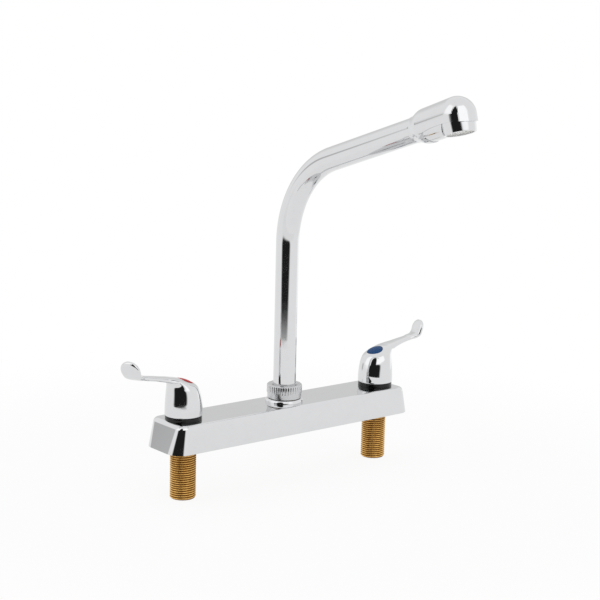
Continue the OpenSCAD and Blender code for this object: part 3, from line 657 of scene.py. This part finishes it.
@dataclass
class Cover:
    """The long cover plate: a drafted hollow casting with a raised boss for the spout."""

    length: float = 248.6
    width: float = 47.0
    height: float = 22.5
    end_lean: float = 6.2
    side_lean: float = 1.8
    corner_r: float = 12.0
    corner_draft: float = 5.0
    edge_r: float = 3.0
    wall: float = 2.5
    boss_d: float = 31.4
    boss_h: float = 3.3
    boss_round: float = 2.4
    post_hole_d: float = 26.6
    neck_hole_d: float = 19.4
    inlet_spacing: float = 203.2
    corner_steps: int = 20
    edge_steps: int = 12
    stay: float = 0.4

    def level(self, z: float, inset: float) -> np.ndarray:
        """One level of the block: a rectangle with round corners.

        The outline leans in with height, and its corners get tighter. Beside each corner, a stay
        away, lie two more points, so that its smoothing doesn't reach along the straight sides.

        Args:
            z: The height of the level.
            inset: How far the outline lies inside the drafted wall.

        Returns:
            The outline's points, one row.
        """
        share = z / self.height
        half_l = self.length / 2 - self.end_lean * share - inset
        half_w = self.width / 2 - self.side_lean * share - inset
        r = max(self.corner_r - self.corner_draft * share - inset, self.edge_r / 2)
        quarter = np.radians(np.linspace(0, 90, self.corner_steps + 1))
        rows = []
        for turn, (sx, sy) in enumerate(((1, 1), (-1, 1), (-1, -1), (1, -1))):
            a = quarter + turn * np.pi / 2
            x, y = sx * (half_l - r), sy * (half_w - r)
            corner = np.stack([x + r * np.cos(a), y + r * np.sin(a), 0 * a + z], axis=1)
            before = corner[:1] - self.stay * np.array([[-np.sin(a[0]), np.cos(a[0]), 0]])
            after = corner[-1:] + self.stay * np.array([[-np.sin(a[-1]), np.cos(a[-1]), 0]])
            rows += [before, corner, after]
        return np.concatenate(rows)

    def block(self) -> bpy.types.Mesh:
        """The outer form, whose top edge is a quarter circle from wall to top.

        Returns:
            The closed form.
        """
        straight = self.height - self.edge_r
        turns = np.radians(np.linspace(0, 90, self.edge_steps + 1))
        levels = [(0.0, 0.0), (self.stay, 0.0), (straight - self.stay, 0.0)]
        levels += [(straight + self.edge_r * math.sin(a), self.edge_r * (1 - math.cos(a)))
                   for a in turns]
        levels.append((self.height, self.edge_r + self.stay))
        grid = np.stack([self.level(z, inset) for z, inset in levels])
        return Skin().add(grid, caps=True).mesh("cover_block")

    def hollow(self) -> bpy.types.Mesh:
        """The room under the cover, which keeps the wall's thickness.

        Returns:
            The closed form.
        """
        top = self.height - self.wall
        grid = np.stack([self.level(-self.wall, self.wall), self.level(top, self.wall)])
        return Skin().add(grid, caps=True).mesh("cover_hollow")

    def boss(self) -> bpy.types.Mesh:
        """The round boss, with a rounded rim.

        Returns:
            The closed form.
        """
        r, top = self.boss_d / 2, self.height + self.boss_h
        rim = arc((r - self.boss_round, top - self.boss_round), self.boss_round, 0, 90)
        foot = self.height - self.wall / 2
        profile = [(r, foot), (r, top - self.boss_round - self.stay), *rim,
                   (r - self.boss_round - self.stay, top)]
        return Skin().add(revolved(profile), caps=True).mesh("cover_boss")

    def drill(self, d: float, x: float) -> bpy.types.Mesh:
        """A round hole through the top.

        Args:
            d: Its diameter.
            x: Where its axis stands.

        Returns:
            The closed form.
        """
        top = self.height + 2 * self.boss_h
        grid = revolved([(d / 2, 0.0), (d / 2, top)]) + np.array([x, 0, 0])
        return Skin().add(grid, caps=True).mesh("cover_drill")

    def build(self) -> None:
        """Makes the cover and puts it on the deck."""
        half = self.inlet_spacing / 2
        cuts = [self.hollow(), self.drill(self.post_hole_d, 0.0),
                self.drill(self.neck_hole_d, -half), self.drill(self.neck_hole_d, half)]
        mesh = carved(self.block(), cuts, [self.boss()])
        piece("cover", mesh, CHROME, Body.DECK, "deck_cover")


@dataclass
class Shank:
    """A brass inlet shank with its whole thread, from below the cover to its lower end."""

    side: Side
    inlet_spacing: float = 203.2
    crest_d: float = 20.955
    pitch: float = 1.814
    thread_deep: float = 1.05
    valley_gain: float = 1.15
    valley_loss: float = 0.05
    reach: float = 41.5
    chamfer: float = 1.0
    top: float = 1.5
    spigot_r: float = 9.4775
    spigot_top: float = 6.45
    bore_d: float = 15.0
    rows_a_turn: int = 10
    sides: int = 96

    def radius(self, z: np.ndarray, a: np.ndarray) -> np.ndarray:
        """The thread's radius: the crest's, less its depth times a sine wave that is cut off.

        The wave's phase is height over pitch less angle over a full turn, so it winds up like a
        right-hand screw. A gain and a loss take it past 1 and 0, where it is cut off, for a flat
        root and crest. Near both ends the radius is held inside a chamfer.

        Args:
            z: Heights.
            a: Angles.

        Returns:
            The radius at each height and angle.
        """
        phase = (z / self.pitch - a / (2 * np.pi)) % 1.0
        wave = 0.5 + 0.5 * np.sin(2 * np.pi * phase)
        valley = np.clip(self.valley_gain * (1 - wave) - self.valley_loss, 0.0, 1.0)
        near = np.minimum(z + self.reach, self.top - z)
        crest = self.crest_d / 2 - np.clip(self.chamfer - near, 0.0, self.chamfer)
        root = self.crest_d / 2 - self.thread_deep
        return np.minimum(crest, root + self.thread_deep * (1 - valley))

    def build(self) -> None:
        """Makes the shank: thread, spigot and bore as one closed tube."""
        a = round_angles(self.sides)
        count = int((self.reach + self.top) / self.pitch * self.rows_a_turn)
        z = np.linspace(-self.reach, self.top, count)[:, None]
        r = self.radius(z, a)
        ends = [(self.spigot_r, self.top), (self.spigot_r, self.spigot_top),
                (self.bore_d / 2, self.spigot_top), (self.bore_d / 2, -self.reach)]
        r = np.concatenate([r, np.array([[q] for q, _ in ends]) + 0 * a])
        z = np.concatenate([z, np.array([[h] for _, h in ends])])
        grid = np.stack([r * np.cos(a), r * np.sin(a), z + 0 * a], axis=-1)
        grid += np.array([self.side.value * self.inlet_spacing / 2, 0, 0])
        mesh = Skin().add(grid, ring=True).mesh("shank")
        name = f"{self.side.name.lower()}_shank"
        piece(f"{name}_threaded", mesh, THREAD_BRASS, Body.DECK, name, Edge.SOFT)


@dataclass
class TrimRing:
    """The gloss black ring between cover and handle, with a rounded shoulder; its black also stands
    in for painted shade in the gap under the hub.
    """

    side: Side
    inlet_spacing: float = 203.2
    base: float = 22.5
    outer_d: float = 29.3
    inner_d: float = 24.2
    height: float = 3.1
    round_r: float = 1.03
    foot_chamfer: float = 0.15

    def build(self) -> None:
        """Makes the ring from its closed profile."""
        r, top = self.outer_d / 2, self.base + self.height
        shoulder = arc((r - self.round_r, top - self.round_r), self.round_r, 0, 90)
        profile = [(self.inner_d / 2, self.base), (r - self.foot_chamfer, self.base),
                   (r, self.base + self.foot_chamfer), *shoulder, (self.inner_d / 2, top)]
        grid = revolved(profile) + np.array([self.side.value * self.inlet_spacing / 2, 0, 0])
        name = f"{self.side.name.lower()}_hub_ring"
        piece(f"{name}_trim", Skin().add(grid, ring=True).mesh(name), BLACK_AND_GAP_SHADE, Body.DECK, name)


@dataclass
class Handle:
    """One lever handle with its hub, arm, paddle and index button."""

    side: Side
    button_finish: Finish
    inlet_spacing: float = 203.2
    foot_z: float = 25.9
    hub_d: float = 30.0
    hub_h: float = 27.5
    reach: float = 52.4
    tip_h: float = 48.8
    arm_t: float = 3.0
    paddle_w: float = 17.6
    hub_wall: float = 2.7
    socket_r: float = 6.2
    room_foot: float = -1.0
    room_low: float = 0.42
    room_high: float = 0.6
    room_neck: float = 0.62
    button_d: float = 14.2
    button_t: float = 2.5
    button_crown: float = 1.1
    button_tilt: float = 22.3
    button_shift: float = 1.2
    button_edge: float = 0.35
    button_stay: float = 0.1
    button_pole: float = 0.3
    dome_points: int = 14
    edge_turn: float = 80.0
    edge_steps: int = 5
    gap: float = 0.05
    steps: int = 8
    sides: int = 112
    room_sides: int = 96
    hub_squareness: float = 2.0
    arm_squareness: float = 2.8
    hub_shares: Rows = (
        (0.000, 0.000, 90.0, 0.960, 0.960),
        (0.000, 0.025, 90.0, 0.998, 0.998),
        (0.000, 0.090, 90.0, 1.000, 1.000),
        (0.000, 0.200, 90.0, 0.998, 1.000),
        (0.007, 0.350, 89.4, 0.983, 0.984),
        (0.023, 0.490, 88.2, 0.950, 0.966),
        (0.053, 0.645, 86.8, 0.901, 0.933),
        (0.108, 0.784, 85.2, 0.831, 0.880),
        (0.193, 0.878, 85.0, 0.736, 0.810),
        (0.327, 0.949, 84.2, 0.596, 0.740),
        (0.497, 1.009, 81.6, 0.435, 0.670),
        (0.680, 1.062, 73.0, 0.292, 0.600),
    )
    arm_shares: Rows = (
        (-0.050, 0.100, 60.0, 1.100, 0.470, 0.0),
        (0.050, 0.140, 44.0, 0.850, 0.410, 0.0),
        (0.165, 0.180, 28.0, 0.700, 0.350, 0.0),
        (0.345, 0.245, 14.0, 0.600, 0.300, 0.0),
        (0.540, 0.300, 10.0, 0.610, 0.262, 0.0),
        (0.650, 0.340, 12.0, 0.650, 0.300, 1.8),
        (0.745, 0.362, 22.0, 0.700, 0.400, 6.5),
        (0.845, 0.425, 48.0, 0.760, 0.480, 13.5),
        (0.893, 0.544, 71.0, 0.750, 0.505, 18.0),
        (0.924, 0.706, 71.0, 0.750, 0.523, 18.0),
        (0.953, 0.849, 71.0, 0.720, 0.441, 18.0),
        (0.972, 0.950, 71.0, 0.560, 0.296, 18.0),
        (0.982, 1.000, 71.0, 0.300, 0.127, 18.0),
    )

    @property
    def label(self) -> str:
        """The side's name, with which its pieces' names start."""
        return self.side.name.lower()

    def rows(self) -> np.ndarray:
        """The rings in real sizes, from the shares: the hub's first, and then the arm's.

        Returns:
            A row for each ring: its middle out and up, heading, half axes, twist and squareness.
        """
        hub_r = self.hub_d / 2
        hub = np.pad(np.array(self.hub_shares), ((0, 0), (0, 1)))
        hub = hub * np.array([hub_r, self.hub_h, 1, hub_r, hub_r, 1])
        start = np.array([hub_r, self.hub_h, 0, 0, 0, 0])
        arm = start + np.array(self.arm_shares) * np.array(
            [self.reach - hub_r, self.tip_h - self.hub_h, 1, self.arm_t, self.paddle_w, 1])
        square = np.repeat([self.hub_squareness, self.arm_squareness], [len(hub), len(arm)])
        return np.column_stack([np.concatenate([hub, arm]), square])

    def smooth_rows(self) -> np.ndarray:
        """The rings, with steps between them on a smooth curve through all of them.

        Between b and c of the neighbours a, b, c and d it is half the sum of 2b, (c - a) t,
        (2a - 5b + 4c - d) t squared and (3b - a - 3c + d) t cubed.

        Returns:
            The rows, the given ones among them.
        """
        rows = self.rows()
        padded = np.concatenate([rows[:1], rows, rows[-1:]])
        a, b, c, d = (padded[k:len(rows) - 1 + k, None] for k in range(4))
        t = np.linspace(0, 1, self.steps, endpoint=False)[None, :, None]
        curve = (2 * b + (c - a) * t + (2 * a - 5 * b + 4 * c - d) * t ** 2
                 + (3 * b - a - 3 * c + d) * t ** 3) / 2
        return np.concatenate([curve.reshape(-1, rows.shape[1]), rows[-1:]])

    def body(self) -> np.ndarray:
        """The casting: superellipses square to their heading, strung along the rings.

        Each point lies at half axis times the signed power 2 / squareness of the cosine along the
        heading's normal, and of the sine across it, turned about the heading by the twist.

        Returns:
            The grid, with +X pointing outwards and the foot at height 0.
        """
        out, up, heading, half_along, half_across, twist, square = (
            self.smooth_rows().T[:, :, None])
        a = round_angles(self.sides)
        power = 2 / square
        along = half_along * np.sign(np.cos(a)) * np.abs(np.cos(a)) ** power
        across = half_across * np.sign(np.sin(a)) * np.abs(np.sin(a)) ** power
        h, w = np.radians(heading), np.radians(twist)
        fore = along * np.cos(w) + across * np.sin(w)
        aside = across * np.cos(w) - along * np.sin(w)
        return np.stack([out + fore * np.sin(h), aside, up - fore * np.cos(h)], axis=-1)

    def placed(self, grid: np.ndarray) -> np.ndarray:
        """Moves a grid from the handle's own place to its inlet, mirrored on the hot side."""
        turned = grid * np.array([self.side.value, 1, 1])
        return turned + np.array([self.side.value * self.inlet_spacing / 2, 0, self.foot_z])

    def on_button_face(self, grid: np.ndarray) -> np.ndarray:
        """Moves a grid onto the button's tilted face, by a turn about Y and a shift.

        Args:
            grid: Points round the button's own axis.

        Returns:
            The points on the handle.
        """
        t = math.radians(self.button_tilt)
        x, y, z = np.moveaxis(grid, -1, 0)
        turned = np.stack([x * math.cos(t) - z * math.sin(t), y, x * math.sin(t) + z * math.cos(t)],
                          axis=-1)
        return turned + np.array([-self.button_shift, 0, self.hub_h])

    def button(self) -> bpy.types.Mesh:
        """The index button: a plug with a rounded edge and a crown that is part of a ball.

        Returns:
            The closed form.
        """
        r, edge = self.button_d / 2, self.button_edge
        crown_r = (r * r + self.button_crown ** 2) / (2 * self.button_crown)
        dome = [(q, self.button_crown - crown_r + math.sqrt(crown_r ** 2 - q ** 2))
                for q in np.linspace(r - edge, self.button_pole, self.dome_points)]
        rim = dome[0][1]
        profile = [(self.button_pole, -self.button_t), (r, -self.button_t),
                   (r, rim - edge - self.button_stay),
                   *arc((r - edge, rim - edge), edge, 0, self.edge_turn, self.edge_steps), *dome]
        grid = self.placed(self.on_button_face(revolved(profile, self.sides)))
        return Skin().add(grid, caps=True).mesh("button")

    def recess(self) -> bpy.types.Mesh:
        """The round recess that holds the button.

        Returns:
            The closed form.
        """
        r = self.button_d / 2 + self.gap
        profile = [(r, -(self.button_t + self.gap)), (r, self.button_d)]
        grid = self.placed(self.on_button_face(revolved(profile, self.sides)))
        return Skin().add(grid, caps=True).mesh("recess")

    def hollow(self) -> bpy.types.Mesh:
        """The hollow of the hub, which leaves a boss for the spindle's socket.

        Returns:
            The closed form.
        """
        r, foot = self.hub_d / 2 - self.hub_wall, self.room_foot
        low, high = self.room_low * self.hub_h, self.room_high * self.hub_h
        profile = [(self.socket_r, foot), (r, foot), (r, low), (r * self.room_neck, high),
                   (self.socket_r, high)]
        grid = self.placed(revolved(profile, self.room_sides))
        return Skin().add(grid, ring=True).mesh("hollow")

    def build(self) -> None:
        """Makes the casting and its button."""
        casting = Skin().add(self.placed(self.body()), caps=True).mesh("casting")
        mesh = carved(casting, [self.recess(), self.hollow()])
        lever = self.side.lever
        piece(f"{self.label}_handle_casting", mesh, CHROME, lever, f"{self.label}_handle",
              Edge.SOFT)
        piece(f"{self.label}_index_plug", self.button(), self.button_finish, lever,
              f"{self.label}_index_button", Edge.SOFT)


@dataclass
class Arm:
    """The spout's centre line: a riser, a bend towards the user, and a rising arm."""

    riser_top: float = 155.2
    bend_r: float = 76.0
    rise: float = 17.157
    length: float = 138.7

    @property
    def turn(self) -> float:
        """The bend's angle, in radians."""
        return math.radians(90 - self.rise)

    @property
    def matrix(self) -> Matrix:
        """From the arm's own frame, z along it and y up, to the tap's frame."""
        return (Matrix.Translation((0, -self.bend_r, self.riser_top))
                @ Matrix.Rotation(self.turn, 4, "X") @ Matrix.Translation((0, self.bend_r, 0)))

    def placed(self, grid: np.ndarray) -> np.ndarray:
        """Moves a grid from the arm's own frame to the tap's."""
        m = np.array(self.matrix)
        return grid @ m[:3, :3].T + m[:3, 3]

    def on_outlet(self, grid: np.ndarray) -> np.ndarray:
        """Moves a grid whose z runs up the outlet's axis from the middle of the arm."""
        x, y, z = np.moveaxis(grid, -1, 0)
        return self.placed(np.stack([x, z, self.length - y], axis=-1))


@dataclass
class SpoutTube:
    """The bent tube, with its bore and the groove for the split ring."""

    arm: Arm
    outer_d: float = 19.0
    wall: float = 1.1
    foot: float = 19.9
    end: float = 113.65
    groove_z: float = 33.2
    groove_h: float = 2.0
    groove_deep: float = 0.55
    lead: float = 1.0
    bend_steps: int = 72

    def stations(self) -> list[tuple[np.ndarray, np.ndarray, float]]:
        """The places along the tube: up the riser, round the bend and out along the arm.

        Returns:
            Each place's middle, its normal towards the bend's inside, and its depth of cut.
        """
        side = np.array([0.0, -1.0, 0.0])
        top = self.groove_z + self.groove_h
        marks = [(self.foot, 0.0), (self.groove_z, 0.0), (self.groove_z, self.groove_deep),
                 (top, self.groove_deep), (top, 0.0), (self.arm.riser_top - self.lead, 0.0)]
        places = [(np.array([0.0, 0.0, z]), side, cut) for z, cut in marks]
        centre = np.array([0.0, -self.arm.bend_r, self.arm.riser_top])
        for t in np.linspace(0, self.arm.turn, self.bend_steps + 1):
            out = np.array([0.0, math.cos(t), math.sin(t)])
            places.append((centre + self.arm.bend_r * out, -out, 0.0))
        last, normal, _ = places[-1]
        ahead = np.array([0.0, -math.sin(self.arm.turn), math.cos(self.arm.turn)])
        places += [(last + ahead * d, normal, 0.0) for d in (self.lead, self.end)]
        return places

    def sleeve(self, r: float, cut: bool) -> np.ndarray:
        """Circles round the centre line: middle, plus r times (cos a normal plus sin a x).

        Args:
            r: Their radius.
            cut: Whether the groove is cut into them.

        Returns:
            The grid, with a row for each place.
        """
        a = round_angles(ROUND)[..., None]
        rows = []
        for middle, normal, deep in self.stations():
            q = r - (deep if cut else 0.0)
            rows.append(middle + q * (np.cos(a) * normal + np.sin(a) * np.array([1.0, 0, 0])))
        return np.concatenate(rows)

    def build(self) -> None:
        """Makes the tube as one closed skin, out along the outside and back along the bore."""
        outside = self.sleeve(self.outer_d / 2, True)
        bore = self.sleeve(self.outer_d / 2 - self.wall, False)[::-1]
        mesh = Skin().add(np.concatenate([outside, bore]), ring=True).mesh("tube")
        piece("spout_bent_tube", mesh, CHROME, Body.SPOUT, "spout_tube")


@dataclass
class SpoutNut:
    """The nut that holds the spout down: smooth band, ribbed grip and bevelled top."""

    base: float = 26.1
    height: float = 11.3
    band_d: float = 28.4
    band_h: float = 4.4
    grip_d: float = 29.2
    ribs: int = 40
    rib_deep: float = 0.4
    bore_r: float = 13.05
    ceiling: float = 35.3
    hole_r: float = 9.8
    mouth_r: float = 11.5
    bevel: float = 1.05
    foot_chamfer: float = 0.3
    rib_starts: Rows = ((0.0, 0.0), (0.2, 0.1), (2.0, 0.8))
    rib_ends: Rows = ((0.0, 0.9, 1.0), (-0.12, 0.6, 1.0), (-0.5, 0.25, 0.6), (-1.1, 0.0, 0.0))
    sides: int = 640

    def grip(self, a: np.ndarray, share: float) -> np.ndarray:
        """The grip's outline: rounded ribs of a share of their depth, by the root of a sine."""
        valleys = 1 - np.sqrt(np.abs(np.sin(a * self.ribs / 2)))
        return self.grip_d / 2 - share * self.rib_deep * valleys

    def build(self) -> None:
        """Makes the nut from rows of radius and height, with the ribs on the upper rows.

        The ribs start at heights over the seam, each with a share of their depth, and end in rows
        of a step in radius, a height under the top and a share.
        """
        a = round_angles(self.sides)
        top = self.base + self.height
        band, seam = self.band_d / 2, self.base + self.band_h
        plain = [(self.bore_r, self.base), (band - self.foot_chamfer, self.base),
                 (band, self.base + self.foot_chamfer), (band, seam)]
        ribbed = [(0.0, seam + up, share) for up, share in self.rib_starts]
        ribbed += [(step, top - down, share) for step, down, share in self.rib_ends]
        inner = [(self.mouth_r, top), (self.hole_r, top - self.bevel), (self.hole_r, self.ceiling),
                 (self.bore_r, self.ceiling)]
        rows = [(r + 0 * a, z) for r, z in plain]
        rows += [(self.grip(a, share) + d, z) for d, z, share in ribbed]
        rows += [(r + 0 * a, z) for r, z in inner]
        grid = np.stack([np.stack([r * np.cos(a), r * np.sin(a), z + 0 * a], axis=-1)[0]
                         for r, z in rows])
        mesh = Skin().add(grid, ring=True).mesh("nut")
        piece("spout_ribbed_nut", mesh, NUT_CHROME, Body.DECK, "spout_nut", Edge.CRISP)


@dataclass
class AeratorSleeve:
    """The plated sleeve at the outlet, tapered and rounded at its rim."""

    arm: Arm
    top: float = -4.65
    length: float = 8.5
    top_d: float = 24.8
    rim_d: float = 23.3
    wall: float = 1.6
    thread_d: float = 21.6
    thread_h: float = 3.8
    bore_r: float = 7.6
    rim_round: float = 0.45
    thinned: float = 0.05
    mouth_chamfer: float = 0.2

    def build(self) -> None:
        """Makes the sleeve from its closed profile round the outlet's axis."""
        rim, r = self.top - self.length, self.rim_d / 2
        inner, chamfer = r - self.wall + self.thinned, self.mouth_chamfer
        nose = arc((r - self.rim_round, rim + self.rim_round), self.rim_round, -90, 0)
        profile = [(self.bore_r, self.top + self.thread_h), (self.bore_r, self.top),
                   (inner, self.top - self.wall), (inner, rim + chamfer), (inner + chamfer, rim),
                   *nose, (self.top_d / 2, self.top), (self.thread_d / 2, self.top),
                   (self.thread_d / 2, self.top + self.thread_h)]
        grid = self.arm.on_outlet(revolved(profile))
        mesh = Skin().add(grid, ring=True).mesh("sleeve")
        piece("aerator_sleeve", mesh, CHROME, Body.SPOUT, "aerator_shell")


@dataclass
class Fittings:
    """The CAD pieces that keep their own shape and get a finish."""

    finishes: dict[str, Finish] = field(default_factory=lambda: {
        "valve_body": BODY_BRASS, "cross_tube": COPPER, "cover_nut": TURNED_BRASS,
        "bonnet": TURNED_BRASS, "seat_seal": RUBBER, "fixed_disc": CERAMIC,
        "moving_disc": CERAMIC, "spindle": TURNED_BRASS, "spindle_seal": RUBBER,
        "handle_screw": STEEL, "spout_post": BODY_BRASS, "spout_split_ring": STEEL,
        "spout_guide_bush": WHITE, "spout_seals": RUBBER, "spout_head": CHROME,
        "head_seal": RUBBER, "aerator_washer": RUBBER, "aerator_insert": WHITE,
        "aerator_screen": WHITE})

    def build(self) -> None:
        """Dresses each CAD node that is still shown."""
        for name, node in sorted(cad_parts.items()):
            kind = name.removeprefix("hot_").removeprefix("cold_")
            if node.hide_render or kind not in self.finishes:
                continue
            finish = self.finishes[kind]
            node.data.materials.clear()
            node.data.materials.append(finish.material())
            log.info("%s: dressed in %s", name, finish.name)


@dataclass(frozen=True)
class Patch:
    """A part of the studio round the tap that is lighter or darker, as the chrome mirrors it.

    Its angles are in degrees. Azimuth 0 lies towards the user, along -Y, and 90 along +X.
    """

    azimuth: float
    elevation: float
    half_wide: float
    half_high: float
    soft: float
    level: float
    squareness: float = 8.0

    def mask(self, across: Wire, tall: Wire) -> Wire:
        """Where the patch is, as 1 inside and 0 outside with a soft rim.

        The rim is a superellipse: the powers of both angles' shares of the patch's half sizes add
        up to 1.

        Args:
            across: The angle from the patch's azimuth, in radians.
            tall: The elevation, in radians.

        Returns:
            The mask.
        """
        u = across.size() / math.radians(self.half_wide)
        v = (tall - math.radians(self.elevation)).size() / math.radians(self.half_high)
        off = (u ** self.squareness + v ** self.squareness) ** (1 / self.squareness)
        soft = self.soft / min(self.half_wide, self.half_high)
        return 1 - off.rise(1 - soft, 1 + soft)


@dataclass
class Studio:
    """The white studio: floor, world and camera."""

    floor_z: float = -41.8
    floor_r: float = 560.0
    floor_glow: float = 0.9
    floor_white: float = 0.9
    fade_from: float = 0.4
    fade_to: float = 0.9
    walls: float = 0.8
    focal_px: float = 1451.62
    frame_px: float = 600.0
    azimuth: float = -39.611
    elevation: float = 10.383
    roll: float = 1.389
    distance: float = 1200.33
    sensor_mm: float = 36.0
    clip_m: tuple[float, float] = (0.05, 50.0)
    target: tuple[float, float, float] = (14.506, 0.0, 106.203)
    patches: tuple[Patch, ...] = (
        Patch(-108.0, 32.0, 22.0, 24.0, 5.0, 1.3),
        Patch(-12.0, 37.5, 32.0, 23.5, 4.0, 1.35),
        Patch(-64.0, 14.0, 20.0, 44.0, 3.0, 0.015, 2.0),
        Patch(-55.0, 0.0, 44.0, 14.0, 2.0, 0.015, 3.0),
        Patch(-50.0, -52.0, 75.0, 40.0, 1.5, 0.95),
        Patch(105.0, -4.0, 22.0, 7.0, 5.0, 1.3),
        Patch(141.0, 13.0, 30.0, 16.0, 10.0, 0.75),
        Patch(-146.0, 3.0, 6.0, 4.0, 2.5, 0.55, 3.0),
    )

    def camera(self) -> None:
        """Sets the camera where the photo was taken from: azimuth 0 looks along +Y."""
        a, e = math.radians(self.azimuth), math.radians(self.elevation)
        back = Vector((math.sin(a) * math.cos(e), -math.cos(a) * math.cos(e), math.sin(e)))
        right = (-back).cross(Vector((0, 0, 1))).normalized()
        up = right.cross(-back)
        turn = Matrix.Rotation(math.radians(self.roll), 4, back)
        right, up = turn @ right, turn @ up
        data = bpy.data.cameras.new("camera")
        data.sensor_width = self.sensor_mm
        data.lens = data.sensor_width * self.focal_px / self.frame_px
        data.clip_start, data.clip_end = self.clip_m
        camera = bpy.data.objects.new("camera", data)
        place = (Vector(self.target) + back * self.distance) * MM
        axes = Matrix((right, up, back)).transposed().to_4x4()
        camera.matrix_world = Matrix.Translation(place) @ axes
        bpy.context.scene.collection.objects.link(camera)
        bpy.context.scene.camera = camera

    def floor(self) -> None:
        """A round pale floor that keeps the tap's shadow and fades to white at its edge."""
        profile = [(self.floor_r, self.floor_z - 1), (self.floor_r, self.floor_z)]
        mesh = Skin().add(revolved(profile), caps=True).mesh("floor")
        material = bpy.data.materials.new("floor_white")
        paint = Paint(material)
        x, y, _ = paint.parts(paint.place())
        far = (x * x + y * y).root().rise(self.fade_from * self.floor_r * MM,
                                          self.fade_to * self.floor_r * MM)
        white = rgb(*[self.floor_white] * 3)
        matt = paint.node("ShaderNodeBsdfDiffuse", inputs={"Color": white})
        glow = paint.node("ShaderNodeEmission", inputs={"Color": rgb(1, 1, 1)})
        plain = self.floor_glow + (1 - self.floor_glow) * far
        both = paint.node("ShaderNodeMixShader", inputs={0: plain, 1: matt, 2: glow})
        paint.add("ShaderNodeOutputMaterial", inputs={"Surface": both})
        mesh.materials.append(material)
        made = bpy.data.objects.new("floor", mesh)
        bpy.context.scene.collection.objects.link(made)

    def world(self) -> None:
        """White to the camera, and to metal and glass too where no light or dark patch hangs.

        The level is 1 to camera, glossy and transmission rays, and the walls' to all others. Each
        patch takes it to its own level by its mask, and the camera gets 1 whatever hangs there.
        """
        world = bpy.data.worlds.new("studio")
        bpy.context.scene.world = world
        paint = Paint(world)
        x, y, z = paint.parts(paint.node("ShaderNodeTexCoord", output="Generated"))
        tall = z.angle_from((x * x + y * y).root())
        camera, gloss, glass = (paint.node("ShaderNodeLightPath", output=f"Is {ray} Ray")
                                for ray in ("Camera", "Glossy", "Transmission"))
        shown = 1 - (1 - camera) * (1 - gloss) * (1 - glass)
        level = self.walls * (1 - shown) + shown
        for patch in self.patches:
            a = math.radians(patch.azimuth)
            ahead = math.sin(a) * x - math.cos(a) * y
            across = math.cos(a) * x + math.sin(a) * y
            mask = patch.mask(across.angle_from(ahead), tall)
            level = level * (1 - mask) + patch.level * mask
        strength = level * (1 - camera) + camera
        glow = paint.node("ShaderNodeBackground",
                          inputs={"Color": rgb(1, 1, 1), "Strength": strength})
        paint.add("ShaderNodeOutputWorld", inputs={"Surface": glow})

    def build(self) -> None:
        """Sets up the whole studio."""
        bpy.context.scene.view_settings.view_transform = "Standard"
        self.camera()
        self.floor()
        self.world()


def main() -> None:
    """Builds the tap's looks in order, from the deck up, and then the studio."""
    logging.basicConfig(level=logging.INFO, format="%(name)s: %(message)s")
    Cover().build()
    for side in Side:
        Shank(side).build()
        TrimRing(side).build()
    Handle(Side.HOT, RED).build()
    Handle(Side.COLD, BLUE).build()
    SpoutNut().build()
    arm = Arm()
    SpoutTube(arm).build()
    AeratorSleeve(arm).build()
    Fittings().build()
    Studio().build()


if __name__ == "__main__":
    main()
